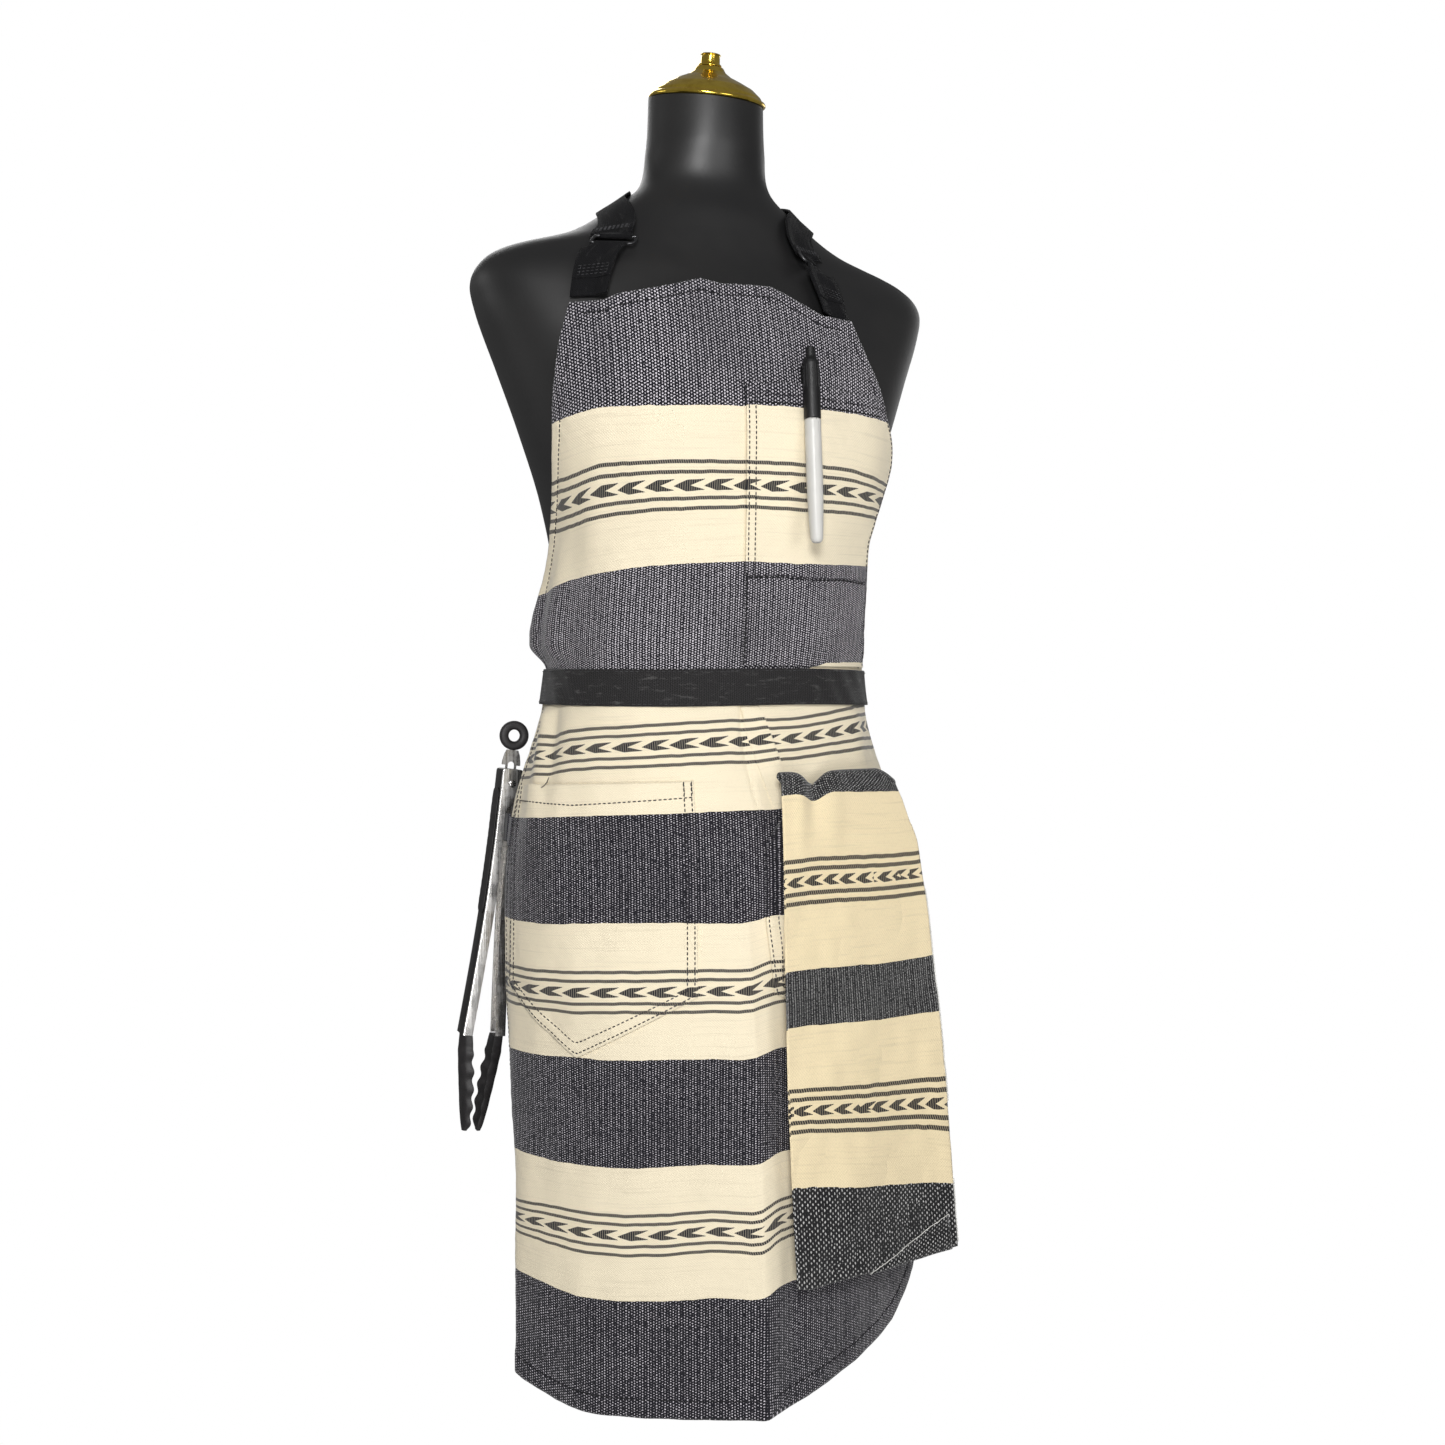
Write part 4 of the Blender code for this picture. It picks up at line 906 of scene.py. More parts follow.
TOP_EDGE = np.array((
    (-0.140, 0.7185), (-0.112, 0.7195), (-0.0997, 0.7250), (-0.0708, 0.7300), (-0.0419, 0.7385),
    (-0.025, 0.7360), (0.0119, 0.7372), (0.0352, 0.7270), (0.0519, 0.7200), (0.0764, 0.7187), (0.09, 0.7180),
))
HEM_EDGE = np.array((
    (-0.235, -0.0430), (-0.215, -0.0500), (-0.191, -0.0580), (-0.1607, -0.0660), (-0.134, -0.0675),
    (-0.060, -0.0672), (-0.0045, -0.0655), (0.0736, -0.0540), (0.130, -0.0450), (0.1486, -0.0400),
    (0.1647, -0.0290), (0.1911, -0.0130), (0.205, 0.0000), (0.2150, 0.0200),
))
CREASE = np.array(((-0.07, -0.0020), (0.03, -0.0035), (0.15, -0.0070), (0.284, -0.0150), (0.40, -0.0160)))
# the narrow groove left of the pleat: height and place
GROOVE = np.array(((0.345, -0.0010), (0.363, -0.0035), (0.385, -0.0080), (0.4025, -0.0105),
                   (0.4195, -0.0125), (0.440, -0.0115)))
# the pleat under the belt: height, where its hidden fold starts and where its edge lies
PLEAT = np.array(((0.330, 0.0160, 0.0250), (0.363, 0.0120, 0.0215), (0.397, 0.0010, 0.0150),
                  (0.418, -0.0050, 0.0085), (0.440, -0.0085, 0.0015)))


SKIRT_SPOTS = np.array(
    (-235, -170, -155, -140, -120, -100, -70, -40, -20, -12, -6, 0, 6, 12, 30, 60, 100, 140)) / 1000
BIB_SPOTS = np.array((-190, -168, -148, -120, -80, -20, -12.5, -10.5, 30, 70, 105, 125)) / 1000
# where the woven rows of the cloth lie: the repeat they belong to, their place in it, and their heights in
# millimetres at those spots, of which the last given holds to the edge
STRIPE_ROWS = (
    (0, -0.0488, (25.9, 19.8, 17.5, 15.7, 15.6, 16.5, 18.4, 21.7, 21.3, 20.7, 21.3, 23.3, 25.6, 26.8)),
    (0, -0.0147, (52.4, 50.7, 50.2, 49.3, 49.3, 49.6, 52.1, 55.4, 54.7, 53.6, 54.0, 56.2, 58.8, 60.2)),
    (0, 0.0147, (70.3, 76.8, 77.7, 77.4, 77.7, 78.4, 81.0, 83.4, 82.3, 82.1, 83.4, 85.6, 87.4, 88.2)),
    (0, 0.0488, (112.0, 111.3, 111.2, 111.6, 112.4, 113.1, 115.4, 117.1, 116.2, 116.0, 117.3, 119.5,
        121.3, 122.1)),
    (1, -0.0488, (186.0, 187.9, 189.1, 190.3, 190.1, 190.6, 191.9, 192.1, 191.1, 191.9, 193.3, 194.8,
        195.8, 196.3)),
    (1, -0.0147, (220.5, 222.6, 223.1, 223.2, 224.6, 225.6, 225.2, 225.6, 224.7, 225.5, 226.9, 228.2,
        229.0, 229.4)),
    (1, 0.0147, (247.9, 249.9, 250.7, 251.8, 253.1, 254.0, 254.5, 254.2, 253.7, 254.5, 255.8, 257.5,
        259.1, 259.8)),
    (1, 0.0488, (281.9, 283.9, 284.8, 286.0, 287.3, 288.3, 288.7, 287.3, 286.9, 287.8, 289.0, 290.6,
        292.1, 292.8)),
    (2, -0.0488, (355.1, 358.2, 359.6, 360.7, 361.9, 362.8, 363.8, 364.9, 365.4, 365.5, 365.5, 365.4,
        365.4, 365.5)),
    (2, -0.0147, (382.6, 388.5, 391.1, 393.2, 394.9, 395.9, 397.5, 398.7, 399.3, 399.2, 399.2, 399.4,
        399.8, 400.1, 401.3, 404.1, 406.3, 406.7)),
    (2, 0.0147, (409.9, 415.1, 417.1, 419.7, 422.2, 423.2, 425.7, 427.1, 428.5, 428.5, 428.4, 428.5,
        428.6, 428.6, 429.3, 432.7, 437.7, 439.0)),
    (2, 0.0488, (460, 460, 460, 460, 460, 460, 460, 460, 460, 460, 460, 460, 460, 460, 461, 470, 471)),
    (3, -0.0488, (520.4, 523.7, 528.7, 532.3, 536.7, 540.0, 540.6, 540.7, 540.4, 541.5, 542.7)),
    (3, -0.0147, (565.9, 564.9, 566.5, 571.5, 574.6, 577.9, 578.5, 578.5, 578.2, 578.8, 578.5, 578.6)),
    (3, 0.0147, (599.9, 598.0, 599.9, 605.7, 607.1, 608.6, 608.9, 609.0, 609.3, 608.6, 604.5, 602.5)),
    (3, 0.0488, (632.7, 635.7, 639.4, 644.4, 644.9, 647.2, 647.9, 648.0, 648.0, 648.5, 647.5, 647.4)),
)


def stripe_place(s, z):
    """Where each point falls in the repeating pattern, whose arrow rows stand at whole periods."""
    s, z = np.broadcast_arrays(np.asarray(s, float), np.asarray(z, float))
    rows, places = [], []
    for repeat, place, heights in STRIPE_ROWS:
        spots = BIB_SPOTS if repeat == 3 else SKIRT_SPOTS
        rows.append(np.interp(s, spots[:len(heights)], np.array(heights) / 1000))
        places.append(repeat * STRIPE_PERIOD + place)
    rows = [rows[0] - 0.0865, *rows, rows[-1] + 0.1026]
    places = [places[0] - 0.0740, *places, places[-1] + 0.0745]
    found = np.full(z.shape, places[0])
    for low, high, a, b in zip(rows, rows[1:], places, places[1:]):
        found = found + (b - a) * np.clip((z - low) / (high - low), 0, 1)
    return found


def swell(s, z):
    """How far the worn cloth stands off its smooth surface."""
    out = ripple(s, z, 0.120, 0.0010, 11, 0.5) + ripple(s, z, 0.045, 0.00035, 12, 0.4)
    out = out + ripple(s, z, 0.016, 0.00010, 13)
    # the bib is pulled down over the belt and blouses above it, most at the sides
    side = step(s, -0.110, -0.190) * 0.0105 + step(s, 0.060, 0.110) * 0.0030 + 0.0022
    gather = 0.75 + 0.25 * np.sin(s / 0.0085 + 2.0 * np.sin(s / 0.031))
    over = step(z, 0.4650, 0.4840) * step(z, 0.565, 0.490)
    out = out + over * side * gather
    # soft folds that start at the belt and die out downwards
    below = step(z, 0.4400, 0.4300) * step(z, 0.315, 0.430)
    folds = np.sin(s / 0.0125 + 1.3 * np.sin(s / 0.04) + 6.0 * (z - 0.44)) * 0.0011
    deep = bell(s, -0.176, 0.010) * 0.0040 - bell(s, -0.160, 0.007) * 0.0022 + bell(s, 0.098, 0.012) * 0.0020
    out = out + below * (folds + deep + 0.0006)
    groove = looked_up(GROOVE, z)
    out = out - 0.0020 * bell(s, groove, 0.0016) * step(z, 0.345, 0.385) * step(z, 0.4425, 0.4390)
    # pressed crease down the middle of the skirt
    crease = looked_up(CREASE, z)
    sharp = 0.0030 * np.exp(-np.abs(s - crease) / 0.0075) * step(z, 0.335, 0.270)
    out = out + sharp - 0.0022 * bell(s, crease + 0.026, 0.014) * step(z, 0.300, 0.200)
    # held flat by the belt
    press = step(z, 0.4380, 0.4410) * step(z, 0.4660, 0.4630)
    return out * (1 - press)


def edges_at(z):
    v = at_height(SIDE_EDGES, z)
    return v[..., 0], v[..., 1]


def hem_depth(s, z):
    """Distance to the nearest cut edge of the apron."""
    left, right = edges_at(z)
    top = looked_up(TOP_EDGE, s)
    low = looked_up(HEM_EDGE, s)
    return np.minimum(np.minimum(s - left, right - s), np.minimum(top - z, (z - low) * HEM_SLOPE))


SEAM = 0.0082  # stitching to the cut edge
HEM_SLOPE = 0.62  # the hem's curve lets its seam stand this much steeper
THREAD_LIFT = 0.00012
THREAD_RADIUS = 0.00048
MOUTH_SEAM = 0.6500  # heights of the chest pocket's seams
CROSS_SEAM = 0.5300


def hem_relief(depth, s, z):
    """The folded hem is thicker, and puckers a little along its stitching."""
    pucker = np.sin(s / 0.0016) * np.sin(z / 0.0016) + np.sin((s + z) / 0.0021)
    groove = np.exp(-(((depth - SEAM) / 0.0012) ** 2))
    fold = 0.00055 * step(depth, SEAM + 0.0008, SEAM - 0.0008)
    return fold - 0.0003 * groove + 0.00012 * pucker * np.exp(-((depth - SEAM) / 0.005) ** 2)


def body_lift(s, z):
    return swell(s, z) + hem_relief(hem_depth(s, z), s, z) - 0.0003


def pleat_fold():
    """The pleat under the belt: cloth folded over itself, with its free edge to the right."""
    z = np.linspace(PLEAT[0, 0], 0.4388, 70)[:, None]
    t = np.linspace(0, 1, 13)[None, :]
    start, end = (looked_up(PLEAT, z, k) for k in (1, 2))
    s = start - 0.004 + (end - start + 0.004) * t
    lift = swell(s, z) + 0.0003 + 0.0020 * t**1.5 * step(z, 0.328, 0.375) * step(z, 0.4400, 0.4340)
    uv = np.stack((s + 0.006, stripe_place(s, z - 0.0008 * t)), -1)
    return grid("pleat_fold", drape(s, z, lift), uv, APRON_CLOTH, 0.0009)


def build_apron():
    u = np.linspace(0, 1, 231)[None, :]
    base = np.concatenate((
        np.linspace(HEM, 0.43, 230), np.linspace(0.4315, 0.50, 70), np.linspace(0.5025, BIB_TOP, 121)
    ))[:, None]
    left, right = edges_at(base)
    s = left + (right - left) * u
    low = looked_up(HEM_EDGE, s)
    top = looked_up(TOP_EDGE, s)
    z = base + (low - HEM) * (1 - step(base, HEM, 0.09)) + (top - BIB_TOP) * step(base, 0.66, BIB_TOP)
    points = drape(s, z, body_lift(s, z))
    uv = np.stack((s, stripe_place(s, z)), -1)
    apron = grid("apron_cloth", points, uv, APRON_CLOTH, 0.0009)
    apron = join("apron_cloth", [apron, pleat_fold()])
    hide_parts("apron_body")

    def on_cloth(s, z):
        s, z = np.broadcast_arrays(np.asarray(s, float), np.asarray(z, float))
        return drape(s, z, body_lift(s, z) + THREAD_LIFT)

    zs = np.linspace(-0.03, 0.4385, 220)
    upper = np.linspace(0.4665, 0.711, 120)
    runs = []
    for part in (zs, upper):
        l, r = edges_at(part)
        low_l = looked_up(HEM_EDGE, l + SEAM) + SEAM / HEM_SLOPE
        low_r = looked_up(HEM_EDGE, r - SEAM) + SEAM / HEM_SLOPE
        keep_l, keep_r = part > low_l, part > low_r
        runs.append(on_cloth((l + SEAM)[keep_l], part[keep_l]))
        runs.append(on_cloth((r - SEAM)[keep_r], part[keep_r]))
    ss = np.linspace(-0.128, 0.068, 120)
    runs.append(on_cloth(ss, looked_up(TOP_EDGE, ss) - SEAM))
    ss = np.linspace(-0.222, 0.207, 220)
    runs.append(on_cloth(ss, looked_up(HEM_EDGE, ss) + SEAM / HEM_SLOPE))
    thread = stitches("apron_stitching", runs, DARK_THREAD, radius=THREAD_RADIUS)
    # a near-black line over the top edge's and the hem's stitching, painted as the shade in their grooves
    hem_shade = stitches("apron_hem_seam_shade", runs[-2:], SEAM_SHADE, 0.0030, 0.0008, 0.00055)
    return [apron, thread, hem_shade]


# --- pockets ---------------------------------------------------------------------------------------


def edge_puckers(u, v, depth):
    return 0.00016 * np.sin(u / 0.0019) * np.sin(v / 0.0023 + 1.0) * np.exp(-((depth / 0.006) ** 2))


def pocket(name, s, z, lift, cad_node):
    points = drape(s, z, lift)
    uv = np.stack((s, stripe_place(s, z)), -1)
    cloth = grid(name, points, uv, APRON_CLOTH, 0.0012)
    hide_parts(cad_node)
    return cloth


def chest_left(z):
    return np.interp(z, (0.466, 0.529, 0.664), (-0.0112, -0.0118, -0.0172))


def chest_lift(s, z):
    """Sewn down round its edges, held off by the marker's clip at the mouth."""
    open_top = step(z, 0.590, 0.655)
    off = 0.0019 + 0.0010 * open_top * bell(s, 0.0290, 0.030)
    across = np.minimum(s - chest_left(z), edges_at(z)[1] - 0.003 - s)
    slack = 0.0012 * step(across, 0.004, 0.030) * step(z, 0.540, 0.575)
    seam = -0.0014 * bell(z, 0.5295, 0.0014)
    tucks = 0.0009 * bell(z, 0.5335, 0.004) * np.maximum(np.sin(s / 0.0042), 0) ** 3
    hem = 0.0005 * step(z, 0.6535, 0.6550)
    double = 0.0005 * step(s, chest_left(z) + 0.0082, chest_left(z) + 0.0068)
    return swell(s, z) + off + slack + seam + tucks + hem + double + edge_puckers(s, z, across - 0.005)


CHEST_BOTTOM, CHEST_MOUTH = 0.4672, 0.6640


def build_chest_pocket():
    v = np.linspace(0, 1, 181)[:, None]
    z = CHEST_BOTTOM + (CHEST_MOUTH - CHEST_BOTTOM) * v
    left = chest_left(z)
    right = edges_at(z)[1] - 0.0030
    s = left + (right - left) * np.linspace(0, 1, 101)[None, :]
    mouth = 0.0008 * np.sin(s / 0.018) * step(z, 0.60, 0.664)
    z = z + mouth
    cloth = pocket("chest_pocket_cloth", s, z, chest_lift(s, z), "chest_pocket")

    def on(s, z):
        s, z = np.broadcast_arrays(np.asarray(s, float), np.asarray(z, float))
        return drape(s, z, chest_lift(s, z) + THREAD_LIFT)

    zs = np.linspace(0.4685, 0.6625, 110)
    runs = [on(s, zs) for s in (chest_left(zs) + 0.0018, chest_left(zs) + 0.0068, edges_at(zs)[1] - 0.0050)]
    ss = np.linspace(-0.0095, 0.1000, 70)
    runs.append(on(ss, 0.5312 + 0.0006 * np.sin(ss / 0.009)))
    ss = np.linspace(-0.0155, 0.1080, 70)
    runs.append(on(ss, np.full_like(ss, 0.6555)))
    thread = stitches("chest_pocket_stitching", runs, DARK_THREAD, radius=THREAD_RADIUS)
    # painted shade of the seams: near-black lines that show as dark lines on the dark bands, across the
    # pocket, down its side and at its mouth
    zs = np.linspace(0.4685, 0.5335, 60)
    ss = np.linspace(-0.0095, 0.1000, 70)
    seams = [on(ss, CROSS_SEAM + 0.0006 * np.sin(ss / 0.009)), on(chest_left(zs) + 0.0006, zs),
             on(np.linspace(-0.0155, 0.0990, 70), np.full(70, MOUTH_SEAM))]
    seam = stitches("chest_pocket_seam_shade", seams, SEAM_SHADE, 0.0036, 0.0005, 0.00062)
    # thread end left at the cross seam
    s = np.array((0.0370, 0.0376, 0.0386, 0.0382))
    z = np.array((0.5325, 0.5290, 0.5268, 0.5240))
    end = tube("chest_thread_end", drape(s, z, chest_lift(s, z) + 0.0006), 0.00022, DARK_THREAD, 6)
    return [cloth, thread, seam, end]


# height and place of the right pocket's inner edge, which pulls away from the middle at the mouth
RIGHT_EDGE = np.array(((0.19, 0.0060), (0.24, 0.0060), (0.292, -0.0012), (0.34, -0.0012),
                       (0.366, 0.0100), (0.383, 0.0130)))


HIP_MOUTH = 0.3832
HIP_BOTTOM = 0.19
HIP_POINT = 0.56  # where its lowest point lies between its edges, from 0 to 1


def hip_outline(sign):
    """A function that places (u, v), each from 0 to 1, on a hip pocket with a pointed bottom."""
    middle = -0.024

    def place(u, v):
        inner, outer = (-0.0505, -0.2060) if sign < 0 else (2 * middle + 0.0505, 2 * middle + 0.2060)
        s = inner + (outer - inner) * u
        if sign > 0:
            # heights near enough to place the pulled inner edge by
            low, high = 0.0488 - 0.046 * (1 - np.abs(u - HIP_POINT) / 0.5) + HIP_BOTTOM, HIP_MOUTH
            height = np.clip(low + (high - low) * v, HIP_BOTTOM, high)
            s = s + (looked_up(RIGHT_EDGE, height) - inner) * (1 - u)
        half = np.where(u > HIP_POINT, 0.44, 0.56)
        bottom = 0.236 - 0.046 * (1 - np.abs(u - HIP_POINT) / half)
        mouth = 0.3862 - 0.0065 * u if sign < 0 else HIP_MOUTH + 0 * u
        return s, bottom + (mouth - bottom) * v

    return place


def towel_face(x, z):
    return -0.1350 + 0.255 * x - 0.002 * np.clip((0.30 - z) / 0.27, 0, 1)


def build_hip_pocket(sign):
    side = "left" if sign < 0 else "right"
    place = hip_outline(sign)
    u, v = np.broadcast_arrays(np.linspace(0, 1, 111)[None, :], np.linspace(0, 1, 121)[:, None])
    s, z = place(u, v)

    def lift(u, v, s, z):
        edge = np.minimum(np.minimum(u, 1 - u) * 0.155, v * 0.14)
        slack = 0.0016 * step(edge, 0.004, 0.030)
        double = 0.0005 * step(edge, 0.0082, 0.0066)
        hem = 0.0005 * step((1 - v) * 0.15, 0.0118, 0.0105)
        sag = 0.0012 * step(v, 0.6, 1.0) * np.sin(math.pi * np.clip(u, 0, 1)) ** 2
        return swell(s, z) + 0.0010 + slack + double + hem + sag + edge_puckers(s, z, edge - 0.005)

    def shaped(points):
        """The right pocket's mouth is pulled forward by the towel folded over it."""
        if sign < 0:
            return points
        x, y, z = points[..., 0], points[..., 1], points[..., 2]
        share = step(x, 0.002, 0.012) * step(x, 0.118, 0.096) * step(z, 0.235, 0.290)
        bulge = towel_face(x, z) + TOWEL_LAYER + 0.0012
        points = points.copy()
        points[..., 1] = y + (np.minimum(y, bulge) - y) * share
        return points

    points = shaped(drape(s, z, lift(u, v, s, z)))
    uv = np.stack((s, stripe_place(s, z)), -1)
    cloth = grid(f"hip_pocket_{side}_cloth", points if sign > 0 else points[:, ::-1],
                 uv if sign > 0 else uv[:, ::-1], APRON_CLOTH, 0.0008)
    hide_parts(f"hip_pocket_{side}")

    def on(u, v):
        u, v = np.broadcast_arrays(np.asarray(u, float), np.asarray(v, float))
        s, z = place(u, v)
        return shaped(drape(s, z, lift(u, v, s, z) + THREAD_LIFT))

    runs = []
    t = np.linspace(0, 1, 90)
    for inset in (0.0020, 0.0072):
        share = inset / 0.1555
        rise = inset * 1.15 / 0.15
        runs.append(on(share, rise + (1 - rise) * t))
        runs.append(on(1 - share, rise + (1 - rise) * t))
        runs.append(on(share + (1 - 2 * share) * t, rise + 0 * t))
    runs.append(on(0.01 + 0.98 * t, 1 - 0.0110 / 0.15))
    thread = stitches(f"hip_pocket_{side}_stitching", runs, DARK_THREAD, radius=THREAD_RADIUS)
    bars = [on((0.0016 + k) / 0.1555, np.linspace(0.94, 1.0, 12)) for k in (0.0, 0.0054)]
    tack = stitches(f"hip_pocket_{side}_tacks", bars, DARK_THREAD, 0.0016, 0.0002, 0.00045)
    made = [cloth, thread, tack]
    if sign < 0:
        path_s = np.array((-0.1640, -0.1615, -0.1590, -0.1570))
        path_z = np.array((0.3790, 0.3805, 0.3830, 0.3865))
        loose = drape(path_s, path_z, swell(path_s, path_z) + 0.0048)
        made.append(tube("loose_thread", loose, 0.00030, DARK_THREAD, 6))
    return made


# ---------------------------------------------------------------------------------------------------
# Belt, knot and neck strap
# ---------------------------------------------------------------------------------------------------


def tape(name, rows, material, thickness):
    """A webbing strip from rows of points across it, with UV in metres along and across."""
    rows = np.asarray(rows, float)
    middle = rows[:, rows.shape[1] // 2]
    run = run_length(middle)
    across = run_length(rows[len(rows) // 2])
    uv = pairs(run[:, None], across[None, :])
    return grid(name, rows, uv, material, thickness)


def belt_height(turns, share):
    return WAIST + share * BELT_WIDTH + 0.0006 * np.sin(turns * 3.0 + 0.5)


def belt_waves(turns, share):
    return 0.0005 * np.sin(turns * 34 + share * 5) + 0.0004 * np.sin(turns * 13 + 1.0)


def build_belt():
    end = math.pi - math.radians(8.5)
    turns = np.linspace(-end, end, 420)[:, None]
    share = np.linspace(-0.5, 0.5, 15)[None, :]
    z = belt_height(turns, share)
    radius = np.maximum(drape_radius(z, turns), form_radius(z, turns))
    edge = 0.0004 * step(np.abs(share), 0.36, 0.42)
    radius = (radius + BELT_LIFT + belt_waves(turns, share) * 0.6 + edge * 0.7
              - 0.0005 * np.abs(share * 2) ** 6)
    points = around(radius, turns, z)
    belt = tape("belt_tape", points[::-1], BELT_TAPE, 0.0013)
    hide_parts("waist_belt")
    t = np.linspace(-end * 0.999, end * 0.999, 500)
    runs = []
    for place in (-0.44, 0.44):
        zz = belt_height(t, place)
        rr = np.maximum(drape_radius(zz, t), form_radius(zz, t)) + BELT_LIFT + 0.0004
        rr = rr + 0.6 * belt_waves(t, place)
        runs.append(around(rr, t, zz))
    thread = stitches("belt_stitching", runs, GREY_THREAD, 0.0026, 0.0012, 0.00016)

    back = form_radius(np.array(WAIST), np.array(math.pi)).item()
    knot_y = back + 0.0055 + 0.007
    made = [belt, thread]
    made += build_knot(knot_y)
    for name, node, sign, length in (
        ("tail_tape_left", "tie_tail_left", -1, 0.30), ("tail_tape_right", "tie_tail_right", 1, 0.276)
    ):
        t = np.linspace(0, 1, 90)
        z = WAIST - 0.0125 - length * t
        x = sign * (0.0135 + 0.012 * t) + 0.0012 * np.sin(t * 9)
        hang = form_radius(z, np.full_like(z, math.pi)) + 0.0062
        y = np.maximum(hang, knot_y - 0.002) + 0.004 * np.sin(math.pi * t)
        # the tape leaves the knot bunched, then opens to its full width
        wide = BELT_WIDTH * (0.55 + 0.45 * step(t, 0.0, 0.16))
        share = np.linspace(-0.46, 0.46, 13)
        points = np.stack((
            x[:, None] + wide[:, None] * share[None, :],
            y[:, None] + WEBBING * 0.6
            + 0.0016 * np.cos(share * 5)[None, :] * (1 - step(t, 0.0, 0.2))[:, None]
            + 0.0005 * np.sin(t * 26)[:, None] * share[None, :] * 3,
            np.broadcast_to(z[:, None], (90, 13)),
        ), -1)
        strip = tape(name, points, BELT_TAPE, 0.0012)
        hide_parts(node)
        made.append(strip)
    return made


def build_knot(knot_y):
    """A half knot: a vertical wrap over two crossing turns of the tape."""
    pieces = []
    t = np.linspace(0, math.tau, 49)[:-1]
    wrap_rows = []
    for share in np.linspace(-0.5, 0.5, 9):
        bulge = 1 - 0.16 * (abs(share) * 2) ** 2
        y = knot_y + 0.0062 * bulge * np.cos(t)
        z = WAIST + 0.0112 * bulge * np.sin(t) + 0.0025 * share
        x = np.full_like(t, 0.0150 * share) + 0.0018 * np.sin(t)
        wrap_rows.append(np.stack((x, y, z), -1))
    wrap = np.asarray(wrap_rows)
    uv = pairs(np.linspace(0, 0.055, 48)[None, :], np.linspace(0, 0.016, 9)[:, None])
    pieces.append(grid("knot_wrap", wrap, uv, BELT_TAPE, wrap=True))
    for k, sign in enumerate((-1, 1)):
        rings = []
        for share in np.linspace(0, 1, 9):
            x = sign * (0.0015 + 0.0128 * share)
            tall = 0.0088 + 0.0018 * share
            thick = 0.0046 - 0.0012 * share
            turn = np.linspace(0, math.tau, 17)[:-1]
            droop = 0.0012 * share * k
            rings.append(np.stack((np.full(16, x), knot_y - 0.0006 + thick * np.cos(turn),
                                   WAIST - droop + tall * np.sin(turn)), -1))
        side = loft(f"knot_side_{k}", rings, BELT_TAPE)
        uv = pairs(np.linspace(0, 0.02, 9)[:, None], np.linspace(0, 0.05, 16)[None, :])
        set_uv(side, uv.reshape(-1, 2))
        pieces.append(side)
    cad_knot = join("belt_knot", pieces)
    fix_normals(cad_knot, 60)
    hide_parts("tie_knot")
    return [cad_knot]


LEFT_STRAP = ((0.7275, -57.6), (0.745, -58.2), (0.762, -59.2))
LEFT_STRAP_UP = ((0.7735, -60.0), (0.787, -63.5), (0.799, -71.0), (0.810, -84.0), (0.819, -100.0))
RIGHT_STRAP = ((0.7275, 40.0), (0.745, 41.6), (0.760, 43.8))
RIGHT_STRAP_UP = ((0.7718, 44.6), (0.785, 45.8), (0.797, 52.0), (0.808, 67.0), (0.818, 91.0))
NAPE = ((0.822, 125.0), (0.823, 150.0), (0.823, 180.0), (0.823, 210.0), (0.822, 235.0))
STRAP_LIFT = 0.0026


def refined(spots, parts):
    spots = [np.array(p, float) for p in spots]
    made = []
    for i in range(len(spots) - 1):
        a, b = spots[max(i - 1, 0)], spots[i]
        c, d = spots[i + 1], spots[min(i + 2, len(spots) - 1)]
        for k in range(parts):
            t = k / parts
            made.append(0.5 * (2 * b + (c - a) * t + (2 * a - 5 * b + 4 * c - d) * t**2
                               + (3 * b - a - 3 * c + d) * t**3))
    return np.array([*made, spots[-1]])


def strap_rows(spots, lift):
    """Rows of points across a strap laid over the form through (height, degrees) spots."""
    z, angle = spots[:, 0], np.radians(spots[:, 1])
    middle = around(form_radius(z, angle) + lift, angle, z)
    rows = []
    for i, here in enumerate(middle):
        along = middle[min(i + 1, len(middle) - 1)] - middle[max(i - 1, 0)]
        along /= np.linalg.norm(along)
        near = np.clip(np.array((here[2] - 0.004, here[2] + 0.004)), 0, FORM_TOP)
        radii = form_radius(near, np.full(2, math.atan2(here[0], -here[1])))
        slope = min(max((radii[0] - radii[1]) / (near[1] - near[0]), 0.35), 2.2)
        out = np.array((here[0], here[1], slope * math.hypot(here[0], here[1])))
        out /= np.linalg.norm(out)
        side = np.cross(along, out)
        side /= np.linalg.norm(side)
        row = []
        for share in np.linspace(-0.5, 0.5, 9):
            spot = here + side * share * STRAP_WIDTH
            turn = math.atan2(spot[0], -spot[1])
            least = form_radius(np.array(min(spot[2], FORM_TOP)), np.array(turn)).item() + lift
            if math.hypot(spot[0], spot[1]) < least:
                spot = np.array((least * math.sin(turn), -least * math.cos(turn), spot[2]))
            row.append(spot)
        rows.append(row)
    return np.array(rows)


def outward(rows):
    """Unit normals of a strap's rows, facing away from the form."""
    along = np.gradient(rows, axis=0)
    across = np.gradient(rows, axis=1)
    out = np.cross(across, along)
    out /= np.linalg.norm(out, axis=-1, keepdims=True)
    flip = np.sign((out[..., :2] * rows[..., :2]).sum(-1, keepdims=True))
    return out * np.where(flip == 0, 1, flip)


def lay_tape(name, rows, lift):
    out = outward(rows)
    top = rows + out * lift
    facing = np.cross(np.gradient(top, axis=1), np.gradient(top, axis=0))
    if (facing * out).sum() < 0:
        top = top[:, ::-1]
    return tape(name, top, STRAP_TAPE, 0.0012)


